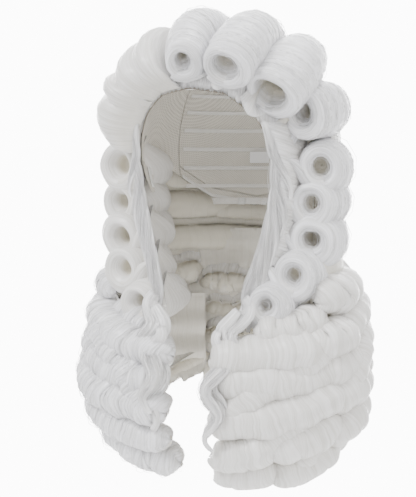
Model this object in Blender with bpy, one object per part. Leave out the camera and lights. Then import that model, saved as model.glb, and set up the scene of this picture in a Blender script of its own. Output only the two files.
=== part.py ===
"""A full-bottomed costume wig in white fibre: a fitted cap, the tiers of curled hair sewn to it and
the straps that size it. Metres, +Z up. The wearer faces -Y, the wearer's left is +X, and the origin
is the inside of the crown, where the top of the head sits. Angles are in degrees: azimuth turns from
the front (-Y) to the wearer's left (+X), elevation rises from the widest level of the head."""

import bmesh
import bpy
import numpy as np
from mathutils import Matrix, Vector

# Head that the cap fits, about 57 cm round: half breadth, half length and half height.
HEAD = np.array([0.077, 0.097, 0.095])
HEAD_CENTRE_Z = -HEAD[2]

# Lower edge of the cap: azimuth, elevation. It dips at the ear tab and again to the nape.
CAP_EDGE = ((0, 37), (30, 33), (50, 20), (60, 6), (67, -12), (73, -25), (80, -25), (86, -10),
            (95, -5), (115, -16), (140, -30), (180, -36))
CAP_THICKNESS = 0.001
SEAM = 0.4
FRONT_HALF = 60.0
SIDE_END = 115.0
LACE_WIDTH = 9.0
NAPE_WIDTH = 7.0
NET_FROM = 62.0
TAB_FROM = 67.3
TAB_TO = 86.0
TAB_TOP = -7.0

# Flat stay inside each ear tab: azimuths, elevations and how far under the cap its faces are.
STAY_AZIMUTHS = (75.0, 78.5)
STAY_ELEVATIONS = (-22.0, -9.0)
STAY_LIFT = (-0.0016, -0.0007)

# Small pieces sewn inside the cap: size, middle and how far each is tipped back to follow the cap.
SEWN_IN = (("size_label", (0.022, 0.0006, 0.012), (0, 0.0930, -0.100), 0.0),
           ("front_tape_tab", (0.020, 0.0010, 0.008), (0, -0.0722, -0.0349), 41.0))

# Layer of hair that the sewn tiers spring from, above the cap.
BASE_LIFT = (0.0034, 0.0078)
BASE_ABOVE_EDGE = 1.5

# Rolls that run from the front back over the crown: start, top and end of the centre line, then the
# radius at each. The wearer's right side is the same mirrored, and its swept roll is fuller.
CENTRE_ROLL = (((0, -0.090, -0.003), (0, -0.048, 0.025), (0, 0.006, 0.024)), (0.0225, 0.0215, 0.019))
FRONT_ROLL = (((0.046, -0.084, -0.007), (0.047, -0.045, 0.026), (0.042, 0.006, 0.021)),
              (0.0215, 0.021, 0.018))
SWEPT_ROLL = (((0.080, -0.055, -0.031), (0.084, -0.026, -0.007), (0.078, 0.006, 0.002)),
              (0.0215, 0.021, 0.017))
FULLER_SWEPT_ROLL = (((0.084, -0.058, -0.024), (0.088, -0.028, -0.008), (0.079, 0.006, 0.001)),
                     (0.0255, 0.0235, 0.017))
TEMPLE_CURL = (((0.101, -0.026, -0.062), (0.105, -0.006, -0.062), (0.101, 0.014, -0.062)),
               (0.0175, 0.0180, 0.0165))
ROLL_RINGS = 7
ROLL_SIDES = 10
ROLL_BACK_SIZE = 0.6
WAVE_SIDES = 8

# Transverse rolls from the crown to the nape: elevation of the ones on the head, then height, half
# width and half depth of the ones that hang below it.
CROWN_ROLL = dict(elevation=75.0, half_span=0.036, lift=0.022, half_depth=0.014, half_height=0.019)
BACK_ELEVATIONS = (50.0, 28.0, 8.0, -11.0)
BACK_HANGING = ((-0.152, 0.097, 0.113), (-0.189, 0.101, 0.112))
BACK_LIFT = 0.019
BACK_HALF_DEPTH = 0.011
BACK_HALF_HEIGHT = 0.0172
BACK_FROM = 108.0
BACK_RINGS = 11
CROWN_RINGS = 9

# Barrel curls in a column beside the face: centre x, front end y, height z, radius.
SIDE_CURLS = ((0.108, -0.012, -0.113, 0.0162), (0.107, -0.012, -0.147, 0.0162),
              (0.102, -0.016, -0.181, 0.0164), (0.095, -0.030, -0.2145, 0.0162),
              (0.069, -0.044, -0.243, 0.0140))
CURL_LENGTH = 0.034
CURL_TURN_IN = 0.008
CURL_RINGS = 3
CURL_SIDES = 12

# Smooth lock beside the face, outside the cap, and its half thickness and half width.
FACE_LOCK = ((0.080, -0.053, -0.080), (0.086, -0.043, -0.106), (0.081, -0.037, -0.136),
             (0.071, -0.037, -0.165), (0.060, -0.041, -0.195), (0.050, -0.046, -0.222))
LOCK_HALF = (0.0055, 0.0105)
LOCK_RINGS = 10

# Waved side falls: half width of each row's centre line and its half thickness. The fall on the
# wearer's right is shorter, so each side has its own first height, spacing and half height.
FALL_ROWS = ((0.128, 0.022), (0.127, 0.023), (0.128, 0.023), (0.123, 0.023), (0.111, 0.021))
FALL_HEIGHTS = {"left": (-0.262, 0.0290, 0.0138), "right": (-0.260, 0.0258, 0.0122)}
FALL_RISE = 0.022
FALL_FRONT_DEPTH = 0.039
FALL_BACK_DEPTH = 0.021
FALL_FROM = 12.0
FALL_TO = 145.0
FALL_RINGS = 9

# Waved back fall: height of the first row, spacing, and the span that stays between the side falls.
BACK_FALL = dict(first=-0.230, pitch=0.033, rows=5, half_span=0.056, half_height=0.016,
                 depth=0.108, half_depth=0.019)
BACK_FALL_STEPS = (-1.0, -0.85, -0.4, 0.0, 0.4, 0.85, 1.0)

# Hinge lines where the hanging hair swings: side falls about +Y lines, back fall about an X line.
SIDE_HINGE = (0.088, -0.035, -0.221)
BACK_HINGE = (0.0, 0.095, -0.189)

# Nape adjusters run on a cone about an upright line near the middle of the nape's curve.
NAPE_CENTRE_Y = 0.0292
NAPE_LOW = -0.150
NAPE_HIGH = -0.1425
NAPE_SLOPE = 0.6
TAPE_ANGLES = (-52.0, 52.0)
STRAP_ANGLES = (20.6, 50.0)
HOOK_ANGLES = (12.0, 20.0)

# Radius of each one's inner face at its lower edge, its thickness, and how much narrower it is than
# the band at each edge.
TAPE = (0.0478, 0.0007, 0.0004)
STRAP = (0.0462, 0.0009, 0.0008)
HOOK = (0.0456, 0.0015, 0.0002)

SHARP_EDGE = 40.0
WELD_DISTANCE = 0.00002

FIBRE = ((0.90, 0.89, 0.90), 0.38)
LACE = ((0.80, 0.74, 0.66), 0.75)
NET = ((0.86, 0.83, 0.78), 0.80)
ELASTIC = ((0.82, 0.80, 0.76), 0.70)
PLASTIC = ((0.88, 0.87, 0.84), 0.35)
LABEL = ((0.93, 0.93, 0.91), 0.60)


def finish(name, colour, roughness):
    """The material of one finish, made once."""
    material = bpy.data.materials.get(name)
    if material is None:
        material = bpy.data.materials.new(name)
        material.use_nodes = True
        shader = material.node_tree.nodes["Principled BSDF"]
        shader.inputs["Base Color"].default_value = (*colour, 1.0)
        shader.inputs["Roughness"].default_value = roughness
    return material


def add_solid(name, points, faces, material, hinge=None):
    """A named object from points and faces, facing out, hung on its hinge where it has one."""
    mesh = bpy.data.meshes.new(name)
    mesh.from_pydata([tuple(point) for point in points], [], faces)
    shape = bmesh.new()
    shape.from_mesh(mesh)
    bmesh.ops.remove_doubles(shape, verts=shape.verts, dist=WELD_DISTANCE)
    bmesh.ops.recalc_face_normals(shape, faces=shape.faces)
    shape.to_mesh(mesh)
    shape.free()
    mesh.shade_smooth()
    mesh.set_sharp_from_angle(angle=np.radians(SHARP_EDGE))
    mesh.materials.append(material)
    solid = bpy.data.objects.new(name, mesh)
    bpy.context.scene.collection.objects.link(solid)
    if hinge is not None:
        solid.parent = hinge
        solid.matrix_parent_inverse = Matrix.Translation(-hinge.location)
    return solid


def add_hinge(name, place):
    """An empty on a joint's axis, the parent of what swings there."""
    hinge = bpy.data.objects.new(name, None)
    hinge.location = place
    bpy.context.scene.collection.objects.link(hinge)
    return hinge


def mirrored(points):
    """Points on the wearer's right for points on the left."""
    return np.asarray(points, float) * (-1.0, 1.0, 1.0)


def on_head(azimuth, elevation, lift):
    """Points on the head's ellipsoid grown by lift."""
    a, e = np.radians(azimuth), np.radians(elevation)
    size = HEAD + lift
    return np.stack([size[0] * np.cos(e) * np.sin(a), -size[1] * np.cos(e) * np.cos(a),
                     HEAD_CENTRE_Z + size[2] * np.sin(e) + 0 * a], axis=-1)


def cap_edge(azimuth):
    """Elevation of the cap's lower edge at an azimuth."""
    turn = np.abs((np.asarray(azimuth, float) + 180) % 360 - 180)
    known = np.array(CAP_EDGE, float)
    return np.interp(turn, known[:, 0], known[:, 1])


def strip_faces(rows, columns, start, wraps):
    """Quads of a grid of points counted row by row."""
    last = columns if wraps else columns - 1
    return [(start + r * columns + c, start + r * columns + (c + 1) % columns,
             start + (r + 1) * columns + (c + 1) % columns, start + (r + 1) * columns + c)
            for r in range(rows - 1) for c in range(last)]


def slab(name, inner, outer, material, wraps=False, hinge=None):
    """A closed wall between an inner and an outer grid of points of the same size."""
    rows, columns = inner.shape[:2]
    points = np.concatenate([inner.reshape(-1, 3), outer.reshape(-1, 3)])
    shift = rows * columns
    faces = strip_faces(rows, columns, 0, wraps) + strip_faces(rows, columns, shift, wraps)
    rim = [[r * columns + c for c in range(columns)] for r in (0, rows - 1)]
    if wraps:
        rim = [line + line[:1] for line in rim]
    else:
        rim += [[r * columns + c for r in range(rows)] for c in (0, columns - 1)]
    for line in rim:
        faces += [(a, b, b + shift, a + shift) for a, b in zip(line, line[1:])]
    return add_solid(name, points, faces, material, hinge)


def cap_patch(name, azimuths, low, high, material, columns=12, rows=5, lift=(0.0, CAP_THICKNESS)):
    """A panel of the cap between two azimuths and two elevations, which may vary along it."""
    turn = np.linspace(*azimuths, columns)
    rise = np.linspace(0, 1, rows)[:, None]
    elevation = low(turn) * (1 - rise) + high(turn) * rise
    around = np.broadcast_to(turn, elevation.shape)
    return slab(name, on_head(around, elevation, lift[0]), on_head(around, elevation, lift[1]), material)


def base_edge(azimuth):
    """Lower edge of the hair layer, which passes over the ear tab and then follows the cap."""
    edge = cap_edge(azimuth) + BASE_ABOVE_EDGE
    turn = np.abs((np.asarray(azimuth, float) + 180) % 360 - 180)
    return np.where(turn < TAB_TO, np.maximum(edge, TAB_TOP), edge)


def level(value):
    """An elevation that is the same at every azimuth."""
    return lambda turn: np.full_like(turn, value)


def dome(name, low, material, lift, columns, rows):
    """A closed dome over the crown from an edge that may vary round the head."""
    turn = np.arange(columns) * 360.0 / columns
    rise = np.linspace(0, 1, rows)[:, None]
    elevation = low(turn) * (1 - rise) + 90.0 * rise
    around = np.broadcast_to(turn, elevation.shape)
    walls = [on_head(around, elevation, height) for height in lift]
    points = np.concatenate([wall[:-1].reshape(-1, 3) for wall in walls] + [wall[-1, :1] for wall in walls])
    ring = (rows - 1) * columns
    faces = strip_faces(rows - 1, columns, 0, True) + strip_faces(rows - 1, columns, ring, True)
    for wall in range(2):
        top = wall * ring + (rows - 2) * columns
        faces += [(top + c, top + (c + 1) % columns, 2 * ring + wall) for c in range(columns)]
    faces += [(c, (c + 1) % columns, ring + (c + 1) % columns, ring + c) for c in range(columns)]
    return add_solid(name, points, faces, material)


def rings(centres, normal, up, half_normal, half_up, sides):
    """Ellipses about each centre in the plane of its normal and up directions."""
    turn = np.radians(np.arange(sides) * 360.0 / sides + 180.0 / sides)[None, :, None]
    across = normal[:, None] * np.reshape(half_normal, (-1, 1, 1)) * np.cos(turn)
    along = up[:, None] * np.reshape(half_up, (-1, 1, 1)) * np.sin(turn)
    return centres[:, None] + across + along


def lock(name, loops, material, hinge=None):
    """A solid lock of hair through a row of loops, closed by a flat face at each end."""
    count, sides = loops.shape[:2]
    faces = strip_faces(count, sides, 0, True)
    faces += [tuple(range(sides)), tuple(range((count - 1) * sides, count * sides))]
    return add_solid(name, loops.reshape(-1, 3), faces, material, hinge)


def tapered(count, end=0.55, next_to_end=0.88):
    """Size of each ring of a lock: full in the middle and drawn in at both ends."""
    size = np.ones(count)
    size[[0, -1]] = end
    size[[1, -2]] = next_to_end
    return size


def unit(vectors):
    """The same directions, of length 1."""
    return vectors / np.linalg.norm(vectors, axis=-1, keepdims=True)


def frame_along(centres, normal):
    """Directions square to a centre line: the given one made square, and the one across both."""
    along = unit(np.gradient(centres, axis=0))
    square = unit(normal - along * np.sum(normal * along, axis=1, keepdims=True))
    return square, np.cross(along, square)


def arc_through(points, count):
    """Points on the smooth curve from the first point through the second to the third."""
    start, middle, end = (np.array(point, float) for point in points)
    pull = 2 * middle - (start + end) / 2
    t = np.linspace(0, 1, count)[:, None]
    return (1 - t) ** 2 * start + 2 * t * (1 - t) * pull + t ** 2 * end


def build_cap(net, lace, elastic, label):
    """The stretch cap: lace front, net crown, panels, nape band, ear tabs and what is sewn into them."""
    def lace_top(turn):
        return cap_edge(turn) + LACE_WIDTH

    def side_low(turn):
        return np.where(np.abs(turn) < TAB_TO + SEAM, np.maximum(cap_edge(turn), TAB_TOP), cap_edge(turn))

    front = (-FRONT_HALF, FRONT_HALF)
    back = (SIDE_END + SEAM, 360 - SIDE_END - SEAM)
    cap_patch("front_lace", front, cap_edge, lace_top, lace, columns=15, rows=3)
    cap_patch("front_panel", front, lambda turn: lace_top(turn) + SEAM, level(NET_FROM - SEAM), net, 13, 4)
    cap_patch("back_panel", back, lambda turn: cap_edge(turn) + NAPE_WIDTH + SEAM,
              level(NET_FROM - SEAM), net, 13, 9)
    cap_patch("nape_band", back, cap_edge, lambda turn: cap_edge(turn) + NAPE_WIDTH, elastic, 15, 3)
    dome("crown_net", level(NET_FROM), net, (0.0, CAP_THICKNESS), 20, 4)
    for side, sign in (("left", 1), ("right", -1)):
        span = (sign * (FRONT_HALF + SEAM), sign * SIDE_END)
        cap_patch(f"{side}_side_panel", span, side_low, level(NET_FROM - SEAM), net, 12, 6)
        cap_patch(f"{side}_ear_tab", (sign * TAB_FROM, sign * TAB_TO), cap_edge, level(TAB_TOP - SEAM),
                  elastic, 6, 3)
    build_stays(elastic)
    build_label(label)


def build_stays(material):
    """A flat stay inside each ear tab."""
    for side, sign in (("left", 1), ("right", -1)):
        low, high = (level(elevation) for elevation in STAY_ELEVATIONS)
        azimuths = tuple(sign * azimuth for azimuth in STAY_AZIMUTHS)
        cap_patch(f"{side}_ear_stay", azimuths, low, high, material, 2, 3, lift=STAY_LIFT)


def build_label(material):
    """A blank size label sewn inside the back panel and a tape tab behind the front lace."""
    for name, size, place, tilt in SEWN_IN:
        turned = Matrix.Rotation(np.radians(-tilt), 4, "X")
        corners = [Matrix.Translation(place) @ turned @ Vector([h * s / 2 for h, s in zip(corner, size)])
                   for corner in ((x, y, z) for x in (-1, 1) for y in (-1, 1) for z in (-1, 1))]
        faces = [(0, 1, 3, 2), (4, 6, 7, 5), (0, 4, 5, 1), (2, 3, 7, 6), (0, 2, 6, 4), (1, 5, 7, 3)]
        add_solid(name, corners, faces, material)


def nape_strip(name, angles, radius, thickness, trim, material, columns, hinge=None):
    """A strip bent round the nape on a cone that widens upward, between two angles from +Y."""
    turn = np.radians(np.linspace(*angles, columns))
    heights = np.array([NAPE_LOW + trim, NAPE_HIGH - trim])[:, None]
    walls = []
    for depth in (0.0, thickness):
        reach = radius + depth + NAPE_SLOPE * (heights - NAPE_LOW)
        walls.append(np.stack([reach * np.sin(turn), NAPE_CENTRE_Y + reach * np.cos(turn),
                               heights + 0 * turn], axis=-1))
    return slab(name, walls[0], walls[1], material, hinge=hinge)


def build_adjusters(elastic, plastic):
    """The loop tape across the nape, and on each side an elastic strap with its hook."""
    nape_strip("nape_loop_tape", TAPE_ANGLES, *TAPE, elastic, 13)
    for side, sign in (("left", 1), ("right", -1)):
        turning = add_hinge(f"{side}_adjuster_run", (0, NAPE_CENTRE_Y, NAPE_LOW))
        strap = tuple(sign * angle for angle in STRAP_ANGLES)
        hook = tuple(sign * angle for angle in HOOK_ANGLES)
        nape_strip(f"{side}_adjuster_strap", strap, *STRAP, elastic, 5, turning)
        nape_strip(f"{side}_adjuster_hook", hook, *HOOK, plastic, 3, turning)


def build_front_rolls(fibre):
    """The rolls over the forehead and crown and the curl at each temple."""
    plans = [("front_centre_roll", CENTRE_ROLL, 1), ("left_front_roll", FRONT_ROLL, 1),
             ("right_front_roll", FRONT_ROLL, -1), ("left_swept_roll", SWEPT_ROLL, 1),
             ("right_swept_roll", FULLER_SWEPT_ROLL, -1), ("left_temple_curl", TEMPLE_CURL, 1),
             ("right_temple_curl", TEMPLE_CURL, -1)]
    for name, (points, radii), sign in plans:
        centres = arc_through(points, ROLL_RINGS)
        sideways = np.tile([1.0, 0.0, 0.0], (ROLL_RINGS, 1))
        normal, up = frame_along(centres, sideways)
        radius = np.interp(np.linspace(0, 2, ROLL_RINGS), range(3), radii)
        size = np.ones(ROLL_RINGS)
        size[-1] = ROLL_BACK_SIZE
        loops = rings(centres, normal, up, radius * size, radius * size, ROLL_SIDES)
        if sign < 0:
            loops = mirrored(loops)
        lock(name, loops, fibre)


def build_back_rolls(fibre):
    """Rolls across the crown and round the back of the head, and the ones that hang below the nape."""
    across = np.linspace(-1, 1, CROWN_RINGS) * CROWN_ROLL["half_span"]
    size = HEAD + CROWN_ROLL["lift"]
    depth = size[1] * np.cos(np.radians(CROWN_ROLL["elevation"]))
    height = HEAD_CENTRE_Z + size[2] * np.sqrt(1 - (across / size[0]) ** 2 - (depth / size[1]) ** 2)
    centres = np.stack([across, 0 * across + depth, height], axis=-1)
    normal, up = frame_along(centres, (centres - (0, 0, HEAD_CENTRE_Z)) / size ** 2)
    taper = tapered(CROWN_RINGS)
    lock("crown_roll", rings(centres, normal, up, CROWN_ROLL["half_depth"] * taper,
                             CROWN_ROLL["half_height"] * taper, WAVE_SIDES), fibre)
    turn = np.linspace(BACK_FROM, 360 - BACK_FROM, BACK_RINGS)
    taper = tapered(BACK_RINGS)
    for row, elevation in enumerate(BACK_ELEVATIONS, start=1):
        centres = on_head(turn, np.full_like(turn, elevation), BACK_LIFT)
        normal, up = frame_along(centres, (centres - (0, 0, HEAD_CENTRE_Z)) / (HEAD + BACK_LIFT) ** 2)
        lock(f"back_roll_{row}", rings(centres, normal, up, BACK_HALF_DEPTH * taper,
                                       BACK_HALF_HEIGHT * taper, WAVE_SIDES), fibre)
    for row, (height, half_width, half_length) in enumerate(BACK_HANGING, start=len(BACK_ELEVATIONS) + 1):
        centres = np.stack([half_width * np.sin(np.radians(turn)), -half_length * np.cos(np.radians(turn)),
                            np.full_like(turn, height)], axis=-1)
        outward = centres / (half_width, half_length, 1.0) * (1, 1, 0)
        normal, up = frame_along(centres, outward)
        lock(f"back_roll_{row}", rings(centres, normal, up, BACK_HALF_DEPTH * taper,
                                       BACK_HALF_HEIGHT * taper, WAVE_SIDES), fibre)


def build_side_hair(fibre, hinges):
    """The face lock and the column of barrel curls on each side. The lowest curl hangs on the fall."""
    for side, sign in (("left", 1), ("right", -1)):
        path = np.array(FACE_LOCK) * (sign, 1, 1)
        steps = np.linspace(0, len(path) - 1, LOCK_RINGS)
        centres = np.stack([np.interp(steps, range(len(path)), path[:, axis]) for axis in range(3)], axis=-1)
        normal, up = frame_along(centres, np.tile([float(sign), 0.0, 0.0], (LOCK_RINGS, 1)))
        taper = tapered(LOCK_RINGS)
        lock(f"{side}_face_lock", rings(centres, normal, up, LOCK_HALF[0] * taper,
                                        LOCK_HALF[1] * taper, WAVE_SIDES), fibre)
        for number, (x, y, z, radius) in enumerate(SIDE_CURLS, start=1):
            run = np.linspace(0, 1, CURL_RINGS)
            centres = np.stack([sign * (x - CURL_TURN_IN * run ** 2), y + CURL_LENGTH * run,
                                np.full(CURL_RINGS, z)], axis=-1)
            level_out = np.tile([1.0, 0.0, 0.0], (CURL_RINGS, 1))
            upright = np.tile([0.0, 0.0, 1.0], (CURL_RINGS, 1))
            swings = hinges[side] if number == len(SIDE_CURLS) else None
            lock(f"{side}_side_curl_{number}", rings(centres, level_out, upright, radius, radius, CURL_SIDES),
                 fibre, swings)


def build_side_falls(fibre, hinges):
    """The rows of waves in front of each shoulder and round to the back."""
    turn = np.linspace(FALL_FROM, FALL_TO, FALL_RINGS)
    angle = np.radians(turn)
    taper = tapered(FALL_RINGS)
    upright = np.tile([0.0, 0.0, 1.0], (FALL_RINGS, 1))
    for side, (first, pitch, half_height) in FALL_HEIGHTS.items():
        for row, (half_width, half_depth) in enumerate(FALL_ROWS):
            height = first - row * pitch
            reach = np.where(turn < 90, half_width - FALL_FRONT_DEPTH, half_width - FALL_BACK_DEPTH)
            centres = np.stack([half_width * np.sin(angle), -reach * np.cos(angle),
                                height - FALL_RISE * np.cos(angle)], axis=-1)
            normal = unit(np.stack([np.sin(angle) / half_width, -np.cos(angle) / reach, 0 * angle], axis=-1))
            loops = rings(centres, normal, upright, half_depth * taper, half_height * taper, WAVE_SIDES)
            if side == "right":
                loops = mirrored(loops)
            lock(f"{side}_fall_row_{row + 1}", loops, fibre, hinges[side])


def build_back_fall(fibre, hinge):
    """The rows of waves that hang behind the neck, between the side falls."""
    plan = BACK_FALL
    across = np.array(BACK_FALL_STEPS) * plan["half_span"]
    taper = tapered(len(across), 0.6, 0.95)
    for row in range(plan["rows"]):
        height = plan["first"] - row * plan["pitch"]
        depth = plan["depth"] * np.sqrt(1 - (across / FALL_ROWS[0][0]) ** 2)
        centres = np.stack([across, depth, np.full_like(across, height)], axis=-1)
        backward = np.tile([0.0, 1.0, 0.0], (len(across), 1))
        upright = np.tile([0.0, 0.0, 1.0], (len(across), 1))
        loops = rings(centres, backward, upright, plan["half_depth"] * taper, plan["half_height"] * taper,
                      WAVE_SIDES)
        lock(f"back_fall_row_{row + 1}", loops, fibre, hinge)


def build_wig():
    """The whole wig, part by part."""
    for old in list(bpy.data.objects):
        bpy.data.objects.remove(old)
    fibre = finish("white_fibre", *FIBRE)
    elastic = finish("elastic", *ELASTIC)
    hinges = {"left": add_hinge("left_fall_hinge", SIDE_HINGE),
              "right": add_hinge("right_fall_hinge", mirrored(SIDE_HINGE))}
    build_cap(finish("stretch_net", *NET), finish("hairline_lace", *LACE), elastic, finish("label", *LABEL))
    build_adjusters(elastic, finish("hook_plastic", *PLASTIC))
    dome("base_hair", base_edge, fibre, BASE_LIFT, 36, 10)
    build_front_rolls(fibre)
    build_back_rolls(fibre)
    build_side_hair(fibre, hinges)
    build_side_falls(fibre, hinges)
    build_back_fall(fibre, add_hinge("back_fall_hinge", BACK_HINGE))


build_wig()
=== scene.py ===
"""The looks of a full-bottomed costume wig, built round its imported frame.

Every lock, roll and curl is a sheet of fibre: a grid whose columns run across the hair and whose rows
run along it, given a thickness, combed into grooves and overlaid with single fibres. Metres, +Z up,
the wearer faces -Y, and the origin is the inside of the crown.
"""

import logging
from dataclasses import dataclass
from enum import Enum
from typing import Callable, Sequence

import bpy
import numpy as np
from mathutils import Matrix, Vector


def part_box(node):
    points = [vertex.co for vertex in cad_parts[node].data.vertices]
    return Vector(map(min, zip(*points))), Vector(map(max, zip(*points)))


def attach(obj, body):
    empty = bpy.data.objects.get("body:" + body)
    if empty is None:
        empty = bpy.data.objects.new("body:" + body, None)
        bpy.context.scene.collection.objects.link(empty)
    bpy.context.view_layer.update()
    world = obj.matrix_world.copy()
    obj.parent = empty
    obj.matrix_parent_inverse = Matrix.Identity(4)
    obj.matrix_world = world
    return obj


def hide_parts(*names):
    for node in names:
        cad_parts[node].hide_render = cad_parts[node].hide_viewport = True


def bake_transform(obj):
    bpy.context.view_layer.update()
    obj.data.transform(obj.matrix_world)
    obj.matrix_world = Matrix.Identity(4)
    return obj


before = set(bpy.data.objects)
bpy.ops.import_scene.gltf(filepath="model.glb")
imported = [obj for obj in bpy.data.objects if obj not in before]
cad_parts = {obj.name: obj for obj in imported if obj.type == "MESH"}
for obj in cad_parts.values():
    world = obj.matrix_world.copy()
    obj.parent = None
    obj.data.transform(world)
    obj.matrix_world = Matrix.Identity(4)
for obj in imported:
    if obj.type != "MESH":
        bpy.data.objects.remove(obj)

LOG = logging.getLogger("wig")
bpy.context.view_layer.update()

# The head: half breadth, half length and half height, and the cap's lower edge round it as azimuth
# and elevation. FACE_EDGE is the edge of the hair beside the face, on the wearer's left.
HEAD = np.array([0.077, 0.097, 0.095])
HEAD_CENTRE = np.array([0.0, 0.0, -HEAD[2]])
CAP_EDGE = ((0, 37), (30, 33), (50, 20), (60, 6), (67, -12), (73, -25), (80, -25), (86, -10),
            (95, -5), (115, -16), (140, -30), (180, -36))
FACE_EDGE = ((0.064, -0.056, -0.068), (0.0715, -0.042, -0.108), (0.066, -0.037, -0.158),
             (0.049, -0.043, -0.213), (0.036, -0.053, -0.255), (0.024, -0.062, -0.300))
UP = np.array([0.0, 0.0, 1.0])

# Degrees of a roll's winding that can be seen, which get the finer steps, and the share of the full
# number of points that every surface gets.
SEEN_TURN = 260.0
DETAIL = 0.79
Array = np.ndarray
Arrays = tuple[Array, Array, Array, Array]


class Side(Enum):
    """Which side of the wearer a piece is on, with the sign of its X."""

    LEFT = 1.0
    RIGHT = -1.0

    @property
    def word(self) -> str:
        """The side's name in piece names."""
        return self.name.lower()


def grain() -> float:
    return DETAIL


def unit(vectors: Array) -> Array:
    """The same directions, of length 1."""
    return vectors / np.maximum(np.linalg.norm(vectors, axis=-1, keepdims=True), 1e-9)


def smooth(values: Array) -> Array:
    """A ramp from 0 to 1 that starts and ends gently."""
    t = np.clip(values, 0, 1)
    return t * t * (3 - 2 * t)


def resample(points: Array, count: int) -> Array:
    """Points at equal steps along a curve.

    Args:
        points: the curve's points, n by 3, joined by a Catmull-Rom spline.
        count: how many points to return.

    Returns:
        The points, count by 3, evenly spaced by length.
    """
    p = np.asarray(points, float)
    ends = np.concatenate([2 * p[:1] - p[1:2], p, 2 * p[-1:] - p[-2:-1]])
    t = np.linspace(0, 1, 24, endpoint=False)[None, :, None]
    a, b, c, d = (ends[i:len(ends) - 3 + i, None] for i in range(4))
    fine = 0.5 * (2 * b + (c - a) * t + (2 * a - 5 * b + 4 * c - d) * t ** 2
                  + (3 * b - a - 3 * c + d) * t ** 3)
    fine = np.concatenate([fine.reshape(-1, 3), p[-1:]])
    gone = np.concatenate([[0], np.cumsum(np.linalg.norm(np.diff(fine, axis=0), axis=1))])
    steps = np.linspace(0, gone[-1], count)
    return np.stack([np.interp(steps, gone, fine[:, i]) for i in range(3)], axis=-1)


def on_head(azimuth: Array, elevation: Array, lift: Array) -> Array:
    """Points on the head's ellipsoid grown by lift, at an azimuth from the front and an elevation."""
    a, e = np.radians(azimuth), np.radians(elevation)
    lift = np.asarray(lift)
    return np.stack([(HEAD[0] + lift) * np.cos(e) * np.sin(a), -(HEAD[1] + lift) * np.cos(e) * np.cos(a),
                     HEAD_CENTRE[2] + (HEAD[2] + lift) * np.sin(e) + 0 * a], axis=-1)


def cap_edge(azimuth: Array) -> Array:
    """Elevation of the cap's lower edge at an azimuth."""
    turn = np.abs((np.asarray(azimuth, float) + 180) % 360 - 180)
    known = np.array(CAP_EDGE, float)
    return np.interp(turn, known[:, 0], known[:, 1])


def wander(x: Array, seed: int, waves: int = 4) -> Array:
    """Smooth noise between about -1 and 1: a sum of sines of rising frequency and random phase."""
    rng = np.random.default_rng(seed)
    total = np.zeros_like(np.asarray(x, float))
    for k in range(1, waves + 1):
        total += np.sin(2 * np.pi * (k * rng.uniform(0.7, 1.3) * x + rng.random())) / k ** 0.7
    return total / 2.2


def square_to(along: Array, outward: Array) -> tuple[Array, Array]:
    """Two directions square to a line: the nearest to outward, and the one across both that points up."""
    normal = unit(outward - along * (outward * along).sum(axis=1, keepdims=True))
    up = np.cross(along, normal)
    return normal, up * np.sign((up * UP).sum(axis=1).mean() or 1.0)


def wound(centre: Array, normal: Array, up: Array, reach: Array, depth: float, angle: Array) -> Array:
    """Points round a line at an angle from normal towards up, flattened along normal by depth."""
    return (centre[None] + (reach * depth * np.cos(angle))[..., None] * normal[None]
            + (reach * np.sin(angle))[..., None] * up[None])


def build_mesh(name: str, points: Array, quads: Array, uv: Array, tuck: Array) -> bpy.types.Object:
    """A mesh object from arrays, turned to face outwards.

    Args:
        name: the piece's name.
        points: vertices, n by 3.
        quads: vertex numbers, m by 4.
        uv: a pair of metres across and along the hair for each vertex.
        tuck: for each vertex, 0 where the hair is outside and 1 where it is tucked away, which sets how much
            painted shade the hair finish mixes in.

    Returns:
        The new object, at the origin.
    """
    corner = points[quads]
    first = np.cross(corner[:, 1] - corner[:, 0], corner[:, 2] - corner[:, 0])
    second = np.cross(corner[:, 2] - corner[:, 0], corner[:, 3] - corner[:, 0])
    volume = ((first + second) * corner[:, 0]).sum()
    if volume < 0:
        quads = quads[:, ::-1]
    mesh = bpy.data.meshes.new(name)
    mesh.vertices.add(len(points))
    mesh.vertices.foreach_set("co", points.astype(np.float32).ravel())
    mesh.loops.add(quads.size)
    mesh.loops.foreach_set("vertex_index", quads.astype(np.int32).ravel())
    mesh.polygons.add(len(quads))
    mesh.polygons.foreach_set("loop_start", np.arange(0, quads.size, 4, dtype=np.int32))
    mesh.polygons.foreach_set("loop_total", np.full(len(quads), 4, np.int32))
    layer = mesh.uv_layers.new(name="combed")
    layer.data.foreach_set("uv", uv[quads.ravel()].astype(np.float32).ravel())
    # The mask of the painted shade, stored on the points for the hair finish.
    mesh.attributes.new("tuck", "FLOAT", "POINT").data.foreach_set("value", tuck.astype(np.float32))
    mesh.update(calc_edges=True)
    mesh.validate()
    mesh.shade_smooth()
    piece = bpy.data.objects.new(name, mesh)
    bpy.context.scene.collection.objects.link(piece)
    return piece


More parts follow.
